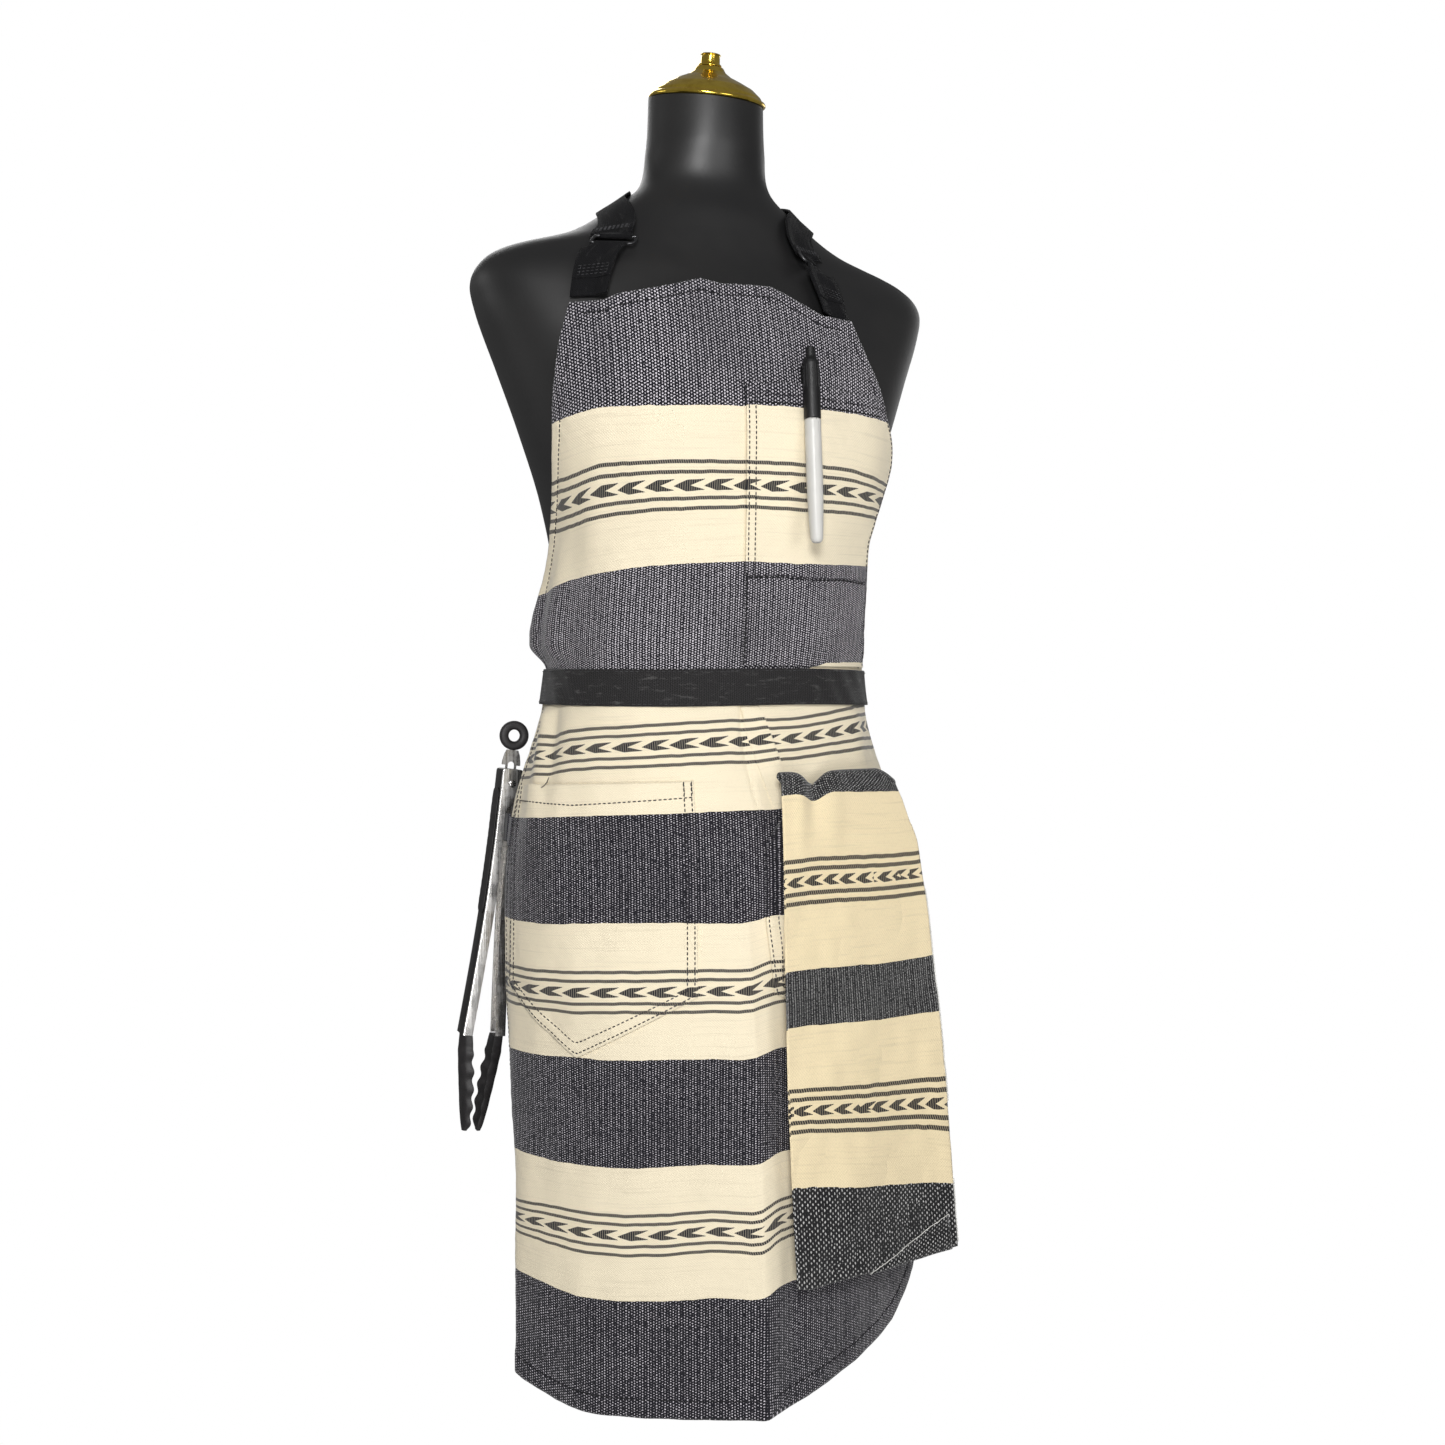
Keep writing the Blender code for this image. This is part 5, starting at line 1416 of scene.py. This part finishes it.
def build_straps():
    made = []
    far = [(z, a - 360) for z, a in reversed(NAPE)]
    near = [(z, a - 360) for z, a in reversed(RIGHT_STRAP_UP)]
    whole = strap_rows(refined([*LEFT_STRAP_UP, *far, *near], 9), STRAP_LIFT)
    strap = lay_tape("neck_tape", whole, WEBBING)
    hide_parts("neck_strap")
    made.append(strap)
    ends = {"left": (whole[:14], LEFT_STRAP), "right": (whole[::-1][:14], RIGHT_STRAP)}
    for side, (upper, spots) in ends.items():
        lower = strap_rows(refined(spots, 12), DRAPE_STANDOFF + 0.0008)
        # the lower end is sewn inside the bib's hem
        tail = lower[0] + (lower[0] - lower[1]) * np.linspace(4.0, 1.0, 4)[:, None, None]
        run = np.concatenate((tail, lower))
        stub = lay_tape(f"strap_end_{side}_tape", run, WEBBING)
        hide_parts(f"strap_end_{side}")
        made.append(stub)
        made += build_ring(side, lower, upper)
    return made


def build_ring(side, lower, upper):
    """The wire ring between two strap ends, and the tape folded round it from both."""
    low, high = lower[-1], upper[0]
    mid = low.shape[0] // 2
    across = low[mid] - low[mid - 1]
    across /= np.linalg.norm(across)
    along = high[mid] - low[mid]
    reach = np.linalg.norm(along)
    along /= reach
    out = np.cross(across, along)
    out /= np.linalg.norm(out)
    centre = (low[mid] + high[mid]) / 2
    if out[:2] @ centre[:2] < 0:
        out = -out
    middle = centre + out * 0.0034
    half_long, half_high, corner = 0.0155, 0.0045, 0.0025
    path = []
    for sx, sy, start in ((1, 1, 0), (-1, 1, 90), (-1, -1, 180), (1, -1, 270)):
        for k in range(9):
            turn = math.radians(start + 11.25 * k)
            path.append(middle + across * (sx * (half_long - corner) + corner * math.cos(turn))
                        + along * (sy * (half_high - corner) + corner * math.sin(turn)))
    ring = tube(f"strap_ring_{side}_wire", path, 0.0011, RING_STEEL, 12, closed=True)
    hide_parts(f"strap_ring_{side}")
    made = [ring]
    for name, rows, sign in (("lower", lower[::-1], -1), ("upper", upper, 1)):
        normal = outward(rows)
        # from behind the ring's bar, round it and back over the strap to its stitching
        bar = middle + along * sign * half_high
        turns = np.linspace(-0.55 * math.pi, 0.5 * math.pi, 12)
        shares = np.linspace(-0.5, 0.5, 9)
        fold = []
        for turn in turns:
            spot = bar - along * sign * math.cos(turn) * 0.0018 + out * math.sin(turn) * 0.0018
            fold.append([spot + across * share * STRAP_WIDTH * 0.98 for share in shares])
        over = []
        reach_share = 0.75 if name == "lower" else 0.30
        for i in range(9):
            t = (i + 1) / 9
            at = int(2 + t * (len(rows) - 4) * reach_share)
            row, lift = rows[at], normal[at]
            flat = row + lift * (WEBBING + 0.0009)
            if (flat[-1] - flat[0]) @ across < 0:
                flat = flat[::-1]
            over.append(flat)
        over = np.array(over)
        path_rows = np.concatenate((np.array(fold), over[1:]))
        path_rows = smooth_rows(path_rows, 46)
        facing = np.cross(np.gradient(path_rows, axis=1), np.gradient(path_rows, axis=0))
        if (facing[-6:] * out).sum() < 0:
            path_rows = path_rows[:, ::-1]
        cover = tape(f"strap_fold_{side}_{name}", path_rows, STRAP_TAPE, 0.0011)
        made.append(cover)
        runs = []
        for back in (3, 6, 9, 12):
            line = path_rows[-back] + out * 0.0002
            runs.append(line[0] + (line[-1] - line[0]) * np.linspace(0.08, 0.92, 20)[:, None])
        for col in (1, -2):
            runs.append(path_rows[-12:-2, col] + out * 0.0002)
        made.append(stitches(f"strap_stitching_{side}_{name}", runs, GREY_THREAD, 0.0020, 0.0010, 0.00018))
    return made


def smooth_rows(rows, count):
    """The same rows resampled evenly along a smooth run."""
    middle = rows[:, rows.shape[1] // 2]
    run = run_length(middle)
    spots = np.linspace(0, run[-1], count)
    out = np.zeros((count, *rows.shape[1:]))
    for j in range(rows.shape[1]):
        for k in range(3):
            out[:, j, k] = np.interp(spots, run, rows[:, j, k])
    for _ in range(3):
        out[1:-1] = out[1:-1] * 0.5 + (out[:-2] + out[2:]) * 0.25
    return out


# ---------------------------------------------------------------------------------------------------
# Tongs and their loop
# ---------------------------------------------------------------------------------------------------

TONG_UP = np.array((math.sin(TONG_LEAN), 0, math.cos(TONG_LEAN)))
TONG_IN = np.array((math.cos(TONG_LEAN), 0, -math.sin(TONG_LEAN)))
Y_AXIS = np.array((0.0, 1.0, 0.0))


def tong_point(inward, side, below):
    return TONG_PIVOT + TONG_IN * inward + Y_AXIS * side - TONG_UP * below


def channel_section(web, depth, half, wall=0.0008, corner=0.0016, parts=5):
    """(distance from the axis, sideways) round a U section, its web's corners bent to a radius."""
    near = web - depth
    outer = [(near, -half)]
    for k in range(parts + 1):
        turn = math.pi / 2 * k / parts
        outer.append((web - corner + corner * math.sin(turn), -half + corner - corner * math.cos(turn)))
    outer += [(n, -s) for n, s in reversed(outer)]
    r = corner - wall
    inner = [(near, -half + wall)]
    for k in range(parts + 1):
        turn = math.pi / 2 * k / parts
        inner.append((web - corner + r * math.sin(turn), -half + corner - r * math.cos(turn)))
    inner += [(n, -s) for n, s in reversed(inner)]
    return outer + inner[::-1]


def build_tongs():
    made = {"tongs": [], "outer_arm": [], "lock_tab": []}
    for name, sign, half, body in (("outer", -1, 0.0095, "outer_arm"), ("inner", 1, 0.0083, "tongs")):
        levels = np.concatenate((
            np.linspace(-0.011, -0.0085, 5), np.linspace(-0.007, 0.013, 9), np.linspace(0.0135, 0.0200, 9),
            np.linspace(0.024, 0.192, 44),
        ))
        rings = []
        for below in levels:
            web, depth = at_height(ARM_STATIONS, below)
            trim = 0.0016 * (1 - math.sqrt(max(0.0, 1 - max(0.0, (-0.0085 - below) / 0.0025) ** 2)))
            flat = channel_section(web - trim, depth - 2 * trim, half)
            rings.append([tong_point(sign * n, s, below) for n, s in flat])
        arm = loft(f"{name}_arm_steel", rings, STEEL)
        fix_normals(arm, 35)
        # faces that point out from the tongs' axis take the near-black copy: painted dark reflection on the
        # web
        arm.data.materials.append(PAINTED_REFLECTION_STEEL)
        for face in arm.data.polygons:
            lean = face.normal @ Vector(TONG_IN * sign)
            if lean > 0.75:
                face.material_index = 1
        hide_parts(f"tong_{name}_arm")
        made[body].append(arm)
        made[body] += build_grip(name, sign)
        made[body] += build_tip(name, sign)
    made["tongs"] += build_rivet()
    made["lock_tab"] += build_lock_tab()
    return made


def build_grip(name, sign):
    """A rubber strip on the web, crowned and ribbed, with rounded ends."""
    half = 0.0083
    rings = []
    for t in np.linspace(0, 1, 60):
        below = 0.004 + 0.096 * t
        web = at_height(ARM_STATIONS, below)[0] + 0.0004
        end = math.sqrt(max(0.0, 1 - (2 * t - 1) ** 16))
        wide = half * (0.55 + 0.45 * end)
        ring = []
        for k in range(13):
            turn = math.pi * k / 12
            rise = (0.0010 + 0.00012 * math.cos(below / 0.0016 * math.tau * 0.25)) * math.sin(turn) ** 0.45
            ring.append(tong_point(sign * (web + rise * end + 0.00002), -wide * math.cos(turn), below))
        rings.append(ring)
    grip = loft(f"{name}_grip_rubber", rings, RUBBER)
    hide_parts(f"tong_{name}_grip")
    return [grip]


TIP_PLACES = (0.1926, 0.205, 0.222, 0.238, 0.252, 0.2656)
TIP_NEAR = (0.0085, 0.0068, 0.0045, 0.0034, 0.0027, 0.0026)
TIP_FAR = (0.0165, 0.0163, 0.0142, 0.0118, 0.0098, 0.0072)
TIP_WIDE_PLACES = (*TIP_PLACES[:5], 0.262, TIP_PLACES[5])
TIP_WIDE = (0.0085, 0.0100, 0.0102, 0.0108, 0.0098, 0.0072, 0.0040)


def build_tip(name, sign):
    """A scalloped rubber jaw: a shallow spoon whose side edges are wavy."""
    rows = 72
    rings = []
    for i in range(rows + 1):
        t = i / rows
        below = 0.1926 + 0.0730 * t
        near = np.interp(below, TIP_PLACES, TIP_NEAR)
        far = np.interp(below, TIP_PLACES, TIP_FAR)
        wide = np.interp(below, TIP_WIDE_PLACES, TIP_WIDE)
        wave = 0.0009 * math.cos(t * math.tau * 5.5) * step(np.array(t), 0.06, 0.16)
        wide = wide + wave - 0.0002
        near = near + 0.0007 * (1 - math.cos(t * math.tau * 5.5)) * step(np.array(t), 0.10, 0.2)
        hollow = 0.0035 * math.sin(math.pi * min(1.0, t * 1.05)) * step(np.array(t), 0.05, 0.25)
        ring = []
        for share in np.linspace(-1, 1, 13):
            ring.append((near + hollow * (1 - share**2) ** 0.8, share * wide))
        for share in np.linspace(1, -1, 13):
            ring.append((far - (far - near) * 0.42 * abs(share) ** 2.6, share * wide * 0.985))
        rings.append([tong_point(sign * n, s, below) for n, s in ring])
    tip = loft(f"{name}_tip_rubber", rings, RUBBER)
    fix_normals(tip, 60)
    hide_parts(f"tong_{name}_tip")
    return [tip]


def build_rivet():
    reach = 0.0095
    head = ((0.0, 0.0014), (0.0018, 0.0013), (0.0029, 0.0008), (0.0030, 0.0003), (0.0022, 0.0003))
    profile = [(r, -reach - h) for r, h in head] + [(r, reach + h) for r, h in reversed(head)]
    rivet = turned("rivet_pin", soft_profile(profile, 0.0003, 3), RIVET, TONG_PIVOT, (0, 1, 0), 40, 60)
    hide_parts("tong_rivet")
    path = [tong_point(-0.0036, 0.0016, 0.013), tong_point(-0.0038, 0.0016, 0.006)]
    for t in np.linspace(0, 1, 150):
        turn = math.tau * 3.5 * t + math.pi
        path.append(tong_point(0.0036 * math.cos(turn), 0.0016 + 0.0045 * t, 0.0036 * math.sin(turn)))
    path += [tong_point(0.0038, 0.0061, 0.006), tong_point(0.0036, 0.0061, 0.013)]
    spring = tube("spring_wire", path, 0.00050, ZINC, 8)
    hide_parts("tong_spring")
    return [rivet, spring]


def build_lock_tab():
    """The steel tab: a trapezoid with a half-round notch over its shank, and the rubber ring it hangs by."""
    ring_centre = -0.0480 + 0.0113
    top = ring_centre + 0.0113 + 0.0005
    run = [(0.0045, top - 0.0006), (0.0060, top + 0.0030), (0.0070, top + 0.0080), (0.0072, -0.0142),
           (0.0068, -0.0138),
           (0.0042, -0.0138), (0.0042, 0.0040), (0.0036, 0.0045)]
    for k in range(9):
        turn = math.pi / 2 * (1 - k / 8)
        run.append((0.0026 * math.sin(turn), 0.0026 * math.cos(turn) - 0.0002 if k else 0.0))
    outline = run[:8]
    outline = outline + [(-n, b) for n, b in reversed(outline)]
    hole = [(0.0026 * math.cos(a), 0.0026 * math.sin(a)) for a in np.linspace(0, math.pi, 13)]
    hole += [(-0.0026 * math.cos(a), -0.0140 - 0.0026 * math.sin(a)) for a in np.linspace(0, math.pi, 13)]
    work = bmesh.new()
    loops = []
    for side in (-0.0007, 0.0007):
        outer = [work.verts.new(tong_point(n, side, b)) for n, b in outline]
        inner = [work.verts.new(tong_point(n, side, b)) for n, b in hole]
        loops.append((outer, inner))
        edges = [work.edges.new((a, b)) for a, b in zip(outer, outer[1:] + outer[:1])]
        edges += [work.edges.new((a, b)) for a, b in zip(inner, inner[1:] + inner[:1])]
        bmesh.ops.triangle_fill(work, use_beauty=True, use_dissolve=False, edges=edges)
    for kind in (0, 1):
        first, second = loops[0][kind], loops[1][kind]
        for i in range(len(first)):
            j = (i + 1) % len(first)
            work.faces.new((first[i], first[j], second[j], second[i]))
    bmesh.ops.recalc_face_normals(work, faces=work.faces)
    mesh = bpy.data.meshes.new("lock_tab_steel")
    work.to_mesh(mesh)
    work.free()
    tab = bpy.data.objects.new("lock_tab_steel", mesh)
    bpy.context.scene.collection.objects.link(tab)
    mesh.materials.append(STEEL)
    mesh.shade_smooth()
    mesh.set_sharp_from_angle(angle=math.radians(30))
    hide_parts("tong_lock_tab")

    centre = tong_point(0, 0, ring_centre)
    turns = np.linspace(0, math.tau, 97)[:-1]
    rings = []
    for turn in turns:
        out = TONG_IN * math.cos(turn) + TONG_UP * math.sin(turn)
        ring = []
        for a in np.linspace(0, math.tau, 25)[:-1]:
            n = abs(math.cos(a)) ** 0.75 * np.sign(math.cos(a))
            d = abs(math.sin(a)) ** 0.75 * np.sign(math.sin(a))
            ring.append(centre + out * (0.0079 + 0.0034 * n) + Y_AXIS * 0.0030 * d)
        rings.append(ring)
    rings.append(rings[0])
    ring = loft("hang_ring_rubber", rings, RUBBER, caps=False)
    weld(ring, face_again=True)
    ring.data.shade_smooth()
    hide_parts("tong_hang_ring")
    return [tab, ring]


def build_tong_loop():
    """The tape from the apron's side edge round the tongs' inner arm, with overcast edges."""
    half, deep, tall = 0.0118, 0.0145, 0.021
    centre = tong_point(0, 0, 0.0225 + tall / 2)
    run = []
    for distance in (-0.2100, -0.2135, -0.2170):
        spot = drape(distance, centre[2], 0.0016)
        run.append((spot[0] - centre[0], spot[1] - centre[1]))
    corner = 0.003
    for cx, cy, start, end in (
        (corner, -half + corner, 270, 180), (corner, half - corner, 180, 90),
        (deep - corner, half - corner, 90, 0), (deep - corner, -half + corner, 0, -80),
    ):
        for k in range(7):
            turn = math.radians(start + (end - start) * k / 6)
            run.append((cx + corner * math.cos(turn), cy + corner * math.sin(turn)))
    run = resample(np.array(run), 0.0012)
    share = np.linspace(-0.5, 0.5, 15)
    length = np.linspace(0, 1, len(run))
    rows = []
    for (x, y), t in zip(run, length):
        puff = 0.0004 * math.sin(t * 40)
        rows.append([centre + np.array((x, y, 0)) + TONG_UP * (q * tall * 0.985) + np.array((puff * q, 0, 0))
                     for q in share])
    rows = np.array(rows)
    uv = pairs((length * 0.09)[:, None], (0.0872 + share * tall)[None, :])
    loop = grid("loop_tape", rows[:, ::-1], uv[:, ::-1], LOOP_CLOTH, 0.0)
    shell = loop.modifiers.new("thickness", "SOLIDIFY")
    shell.thickness = 0.0008
    shell.offset = 0
    apply_modifiers(loop)
    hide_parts("tong_loop")
    runs = []
    for q in (0, -1):
        runs.append(zigzag(rows[:, q], 0.0006, -0.0003, TONG_UP * (1 if q else -1)))
    thread = stitches("loop_overcast", runs, DARK_THREAD, 0.0011, 0.0002, 0.00035)
    return [loop, thread]


# ---------------------------------------------------------------------------------------------------
# Marker and towel
# ---------------------------------------------------------------------------------------------------


def build_marker():
    lift = CHEST_GAP + CLOTH + 0.0010 + MARKER_RADIUS
    s, z = 0.0290, 0.6548
    hold = drape(s, z, lift)
    rise = drape(s, z + 0.002, lift) - drape(s, z - 0.014, lift)
    up = np.array((-0.016, rise[1] / rise[2], 1.0))
    up /= np.linalg.norm(up)
    low = hold - up * 0.1035
    out = np.array((0.18, -1.0, 0.0))
    out = out - up * (out @ up)
    out /= np.linalg.norm(out)
    across = np.cross(up, out)
    r, length, cap_length = MARKER_RADIUS, 0.138, 0.0505
    joint = length - cap_length
    barrel_profile = [
        (0.0, 0.0), (0.0022, 0.0002), (0.0035, 0.0010), (0.0044, 0.0030), (0.0047, 0.0070), (0.0052, 0.0180),
        (r - 0.0001, 0.0330), (r, 0.0420), (r, joint - 0.0012), (r - 0.0003, joint - 0.0004),
        (0.0044, joint - 0.0004), (0.0044, joint + 0.010), (0.0026, joint + 0.016), (0.0014, joint + 0.020),
        (0.0, joint + 0.020),
    ]
    barrel = turned("marker_body", soft_profile(barrel_profile, 0.0008, 4), GREY_PLASTIC, low, up, 64, 60)
    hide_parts("marker_barrel")
    cap_profile = [
        (0.0048, joint + 0.012), (0.0048, joint), (r + 0.0002, joint), (r + 0.0002, joint + 0.0010),
        (r, joint + 0.030), (0.0057, length - 0.0115), (0.0052, length - 0.0095), (0.0040, length - 0.0078),
        (0.0036, length - 0.0066), (0.0032, length - 0.0006), (0.0026, length), (0.0, length),
    ]
    ring = [(0.0, joint + 0.012), *cap_profile]
    cap = turned("marker_cap_shell", soft_profile(ring, 0.0005, 4), BLACK_PLASTIC, low, up, 64, 50)
    clip_rings = []
    clip_top = length - 0.0105
    stations = ((0.0008, 0.0040, 0.0088), (-0.0006, 0.0042, 0.0093), (-0.0020, 0.0044, 0.0096),
                (-0.0028, 0.0087, 0.0096), (-0.0150, 0.0087, 0.0096), (-0.0300, 0.0087, 0.0095),
                (-0.0334, 0.0088, 0.0094), (-0.0340, 0.0090, 0.0092))
    for height, near, far in stations:
        wide = 0.0021 if height > -0.033 else 0.0012
        bend = [(near, -wide), (near, wide), ((near + far) / 2 + 0.0002, wide * 1.02),
                (far - 0.0001, wide * 0.7),
                (far, 0.0), (far - 0.0001, -wide * 0.7), ((near + far) / 2 + 0.0002, -wide * 1.02)]
        clip_rings.append([low + up * (clip_top + height) - out * n + across * q for n, q in bend])
    clip = loft("marker_clip", clip_rings, BLACK_PLASTIC)
    fix_normals(clip, 45)
    ribs = []
    for k in range(16):
        turn = math.tau * k / 16
        side = across * math.cos(turn) + out * math.sin(turn)
        run = [low + up * (length - below) + side * r_rib
               for below, r_rib in ((0.0290, 0.00585), (0.0210, 0.00578), (0.0130, 0.00565))]
        ribs.append(tube(f"marker_rib_{k}", run, 0.00022, BLACK_PLASTIC, 6))
    cap = join("marker_cap_shell", [cap, clip, *ribs])
    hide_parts("marker_cap")
    base = joint + 0.0204
    point = [(0.0, base), (0.0012, base), (0.0010, base + 0.003), (0.0, base + 0.0042)]
    nib = turned("marker_tip", soft_profile(point, 0.0004, 4), FELT, low, up, 24, 60)
    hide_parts("marker_nib")
    return {"cap": [cap], "barrel": [barrel, nib]}


# towel edges in its own cloth: share of the drop, left x, right x of the front layer
TOWEL_EDGES = np.array((
    (0.00, 0.0036, 0.1080), (0.02, 0.0038, 0.1150), (0.04, 0.0042, 0.1190), (0.07, 0.0048, 0.1235),
    (0.13, 0.0056, 0.1290),
    (0.27, 0.0066, 0.1390), (0.48, 0.0078, 0.1500), (0.69, 0.0108, 0.1580), (0.88, 0.0145, 0.1645),
    (1.00, 0.0165, 0.1690),
))


# how much lower the stripes hang at the right edge than at the left, by height
TOWEL_SKEW = np.array(((0.026, 0.0265), (0.105, 0.0265), (0.159, 0.0120), (0.215, 0.0045),
                       (0.2586, 0.0005), (0.315, 0.0), (0.393, 0.0)))


def towel_pattern(drop):
    """Place in the stripe pattern at a distance down the front from the fold."""
    z = TOWEL_TOP - drop
    period, half = STRIPE_PERIOD, CREAM_HALF
    knots = [
        (0.020, -half - 0.0385), (0.1045, -half), (0.1385, -0.020), (0.1775, 0.020), (0.2175, half),
        (0.2560, period - half), (0.2980, period - 0.020), (0.3390, period + 0.020), (0.3810, period + half),
        (0.420, period + half + 0.0385), (0.460, 2 * period - half),
    ]
    heights, places = zip(*knots)
    return np.interp(z, heights, places)


def build_towel():
    """A strip folded in three along its length, hung over the pocket's hem."""
    bend = (2 * TOWEL_LAYER + TOWEL_SLOT) / 2
    top = TOWEL_TOP - bend
    arc = math.pi * bend
    front = top - TOWEL_BOTTOM
    back = top - 0.296
    columns = 100
    u = np.linspace(0, 1, columns + 1)[None, :]
    # distance along the strip, from the front hem up over the fold and down behind
    run = np.concatenate((np.linspace(0, front, 200), front + np.linspace(0.0008, arc, 16),
                          front + arc + np.linspace(0.004, back, 40)))[:, None]

    def strip(name, depth, inset, low_shift, thickness, seed):
        radius = bend - depth
        drop = np.clip(front - run, 0, None)
        share = drop / front
        over = np.clip((run - front) / arc, 0, 1)
        behind = np.clip(run - front - arc, 0, None)
        left = looked_up(TOWEL_EDGES, share) + inset
        right = looked_up(TOWEL_EDGES, share, 2) - inset
        tucked = step(behind, 0.0, 0.012)
        left = left + (0.0175 - left) * tucked
        right = right + (0.0905 - right) * tucked
        x = left + (right - left) * u
        # bottom edge of the front: lower at the left, rising to the right, with rounded corners
        rise = 0.0035 * np.exp(-((u - 0.0) / 0.05) ** 2) + 0.0008 * np.sin(u * 6)
        z_front = top - drop + (rise + low_shift) * step(share, 0.80, 1.0)
        y_face = towel_face(x, np.clip(top - drop, TOWEL_BOTTOM, top))
        turn = over * math.pi
        soft = ripple(x, drop, 0.070, 0.0008, 21 + seed, 0.5) + ripple(x, drop, 0.028, 0.00030, 31 + seed)
        bell_out = 0.0030 * step(share, 0.15, 0.9) * np.sin(u * math.pi * 1.15 + 0.2) ** 2
        edge_curl = 0.0018 * step(share, 0.2, 0.9) * np.exp(-((1 - u) / 0.10) ** 2)
        ease = step(share, 0.02, 0.25) * (soft - bell_out - edge_curl) + depth
        y = np.where(run <= front, y_face + ease, y_face + bend - radius * np.cos(turn))
        z = np.where(run <= front, z_front, top + radius * np.sin(turn) - behind)
        # a V-shaped dip where the towel is pinched over the hem
        shoulder = 0.0160 * np.clip((x - 0.0900) / 0.0270, 0, 1.2) ** 1.6 * (1 - tucked)
        z = z - shoulder * step(drop, 0.060, 0.0)
        dip = bell(x, 0.0320, 0.0095) * step(drop, 0.030, 0.0) * (1 - tucked)
        z = z - 0.0090 * dip
        y = y + 0.0022 * bell(x, 0.0320, 0.006) * step(drop, 0.055, 0.004) * (1 - over)
        dents = bell(x, 0.0200, 0.006) + bell(x, 0.0500, 0.009)
        y = y - 0.0016 * dents * step(drop, 0.090, 0.010) * (1 - over)
        points = np.stack(np.broadcast_arrays(x, y, z), -1)
        width = 0.145
        wander = 0.0012 * np.sin(u * 5 + share * 3)
        skew = looked_up(TOWEL_SKEW, top - drop) * u**1.3
        place = towel_pattern(front - run + wander - skew + shoulder * step(drop, 0.060, 0.0))
        uv = pairs(u * width + seed * 0.31, place)
        return points, grid(name, points, uv, TOWEL_CLOTH, thickness)

    outer_points, outer = strip("towel_front", 0.0, 0.0, 0.0, 0.00065, 1)
    middle_points, middle = strip("towel_middle", 0.00080, 0.0006, 0.0007, 0.00060, 2)
    inner_points, inner = strip("towel_inner", 0.00155, 0.0010, 0.0012, 0.00060, 3)
    # the folds that join the layers down the left and the right side
    joins = []
    for name, a, b, column, sign in (
        ("towel_fold_left", outer_points, middle_points, 0, -1),
        ("towel_fold_right", middle_points, inner_points, -1, 1),
    ):
        first, second = a[:, column], b[:, column]
        rows = []
        for t in np.linspace(0, 1, 9):
            swing = 0.0011 * math.sin(math.pi * t)
            spot = first + (second - first) * t
            spot[:, 0] += sign * swing
            rows.append(spot)
        points = np.array(rows).transpose(1, 0, 2)
        if sign < 0:
            points = points[:, ::-1]
        uv = pairs(np.linspace(0, 0.003, 9)[None, :] + 0.9, towel_pattern(front - run))
        joins.append(grid(name, points, uv, TOWEL_CLOTH, 0.0003))
    towel = join("towel_cloth", [outer, middle, inner, *joins])
    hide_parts("towel")
    made = [towel]
    made += towel_trim(outer_points)
    return made


def towel_trim(points):
    """Overcast white edge at the right, the hem's stitching, and the turned-up corner."""
    made = []
    runs = []
    for low, high in ((2, 30), (62, 152)):
        edge = points[low:high, -1] + np.array((0.0004, -0.0002, 0))
        runs.append(zigzag(resample(edge, 0.0009), 0.0006, -0.0007, np.array((1.0, 0.1, 0))))
    made.append(stitches("towel_overcast", runs, WHITE_THREAD, 0.0012, 0.0001, 0.00045))
    hem = points[7, 3:-3] + np.array((0, -0.00035, 0))
    made.append(stitches("towel_hem_stitching", [hem], GREY_THREAD, 0.0026, 0.0012, 0.00020))
    # corner folded up over the hem, a triangle that stands a little proud
    columns = np.linspace(42, points.shape[1] - 5, 40).astype(int)
    rows_out = []
    for j, t in enumerate(np.linspace(0, 1, 40)):
        column = columns[j]
        bottom = points[0, column]
        tall = 0.0270 * t ** 1.1
        line = []
        for q in np.linspace(0, 1, 26):
            curl = 0.0016 * math.sin(math.pi * min(q * 1.6, 1.0)) * (0.4 + 0.6 * t)
            y = np.interp(bottom[2] + tall * q, points[:60, column, 2], points[:60, column, 1])
            height = bottom[2] - 0.0006 * (1 - q) + tall * q
            line.append((bottom[0] - 0.004 * q * t, y - 0.0012 - curl, height))
        rows_out.append(line)
    flap_points = np.array(rows_out).transpose(1, 0, 2)
    uv = np.stack((flap_points[..., 0], -0.075 + (flap_points[..., 2] - flap_points[:1, :, 2]) * 0.6), -1)
    flap = grid("towel_corner", flap_points, uv, TOWEL_CLOTH, 0.0006)
    made.append(flap)
    edge = resample(flap_points[-1] + np.array((0, -0.0003, 0)), 0.0009)
    zig = zigzag(edge, 0.0005, -0.0005, np.array((0.2, 0, 1.0)))
    made.append(stitches("towel_corner_overcast", [zig], WHITE_THREAD, 0.0012, 0.0001, 0.00036))
    return made


# ---------------------------------------------------------------------------------------------------
# Everything
# ---------------------------------------------------------------------------------------------------


def paint(node, material):
    """Gives a CAD node that stays in view a new material."""
    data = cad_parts[node].data
    data.materials.clear()
    data.materials.append(material)


def ride_all(objects, body):
    for o in objects:
        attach(o, body)


build_camera()
build_stage()
root = "dressed_form"
ride_all([build_form()], root)
ride_all(build_cap(), "neck_finial")
apron_pieces = build_apron()
chest_pieces = build_chest_pocket()
left_pieces = build_hip_pocket(-1)
right_pieces = build_hip_pocket(1)
for group in (apron_pieces, chest_pieces, left_pieces, right_pieces,
              build_belt(), build_straps(), build_tong_loop()):
    ride_all(group, root)
for build in (build_tongs, build_marker):
    for body, group in build().items():
        ride_all(group, body)
ride_all(build_towel(), "towel")
for node in ("base_board", "neck_block"):
    paint(node, BOARD)
for node in ("stand_plate", *(f"plate_screw_{k}" for k in (1, 2, 3, 4))):
    paint(node, ZINC)
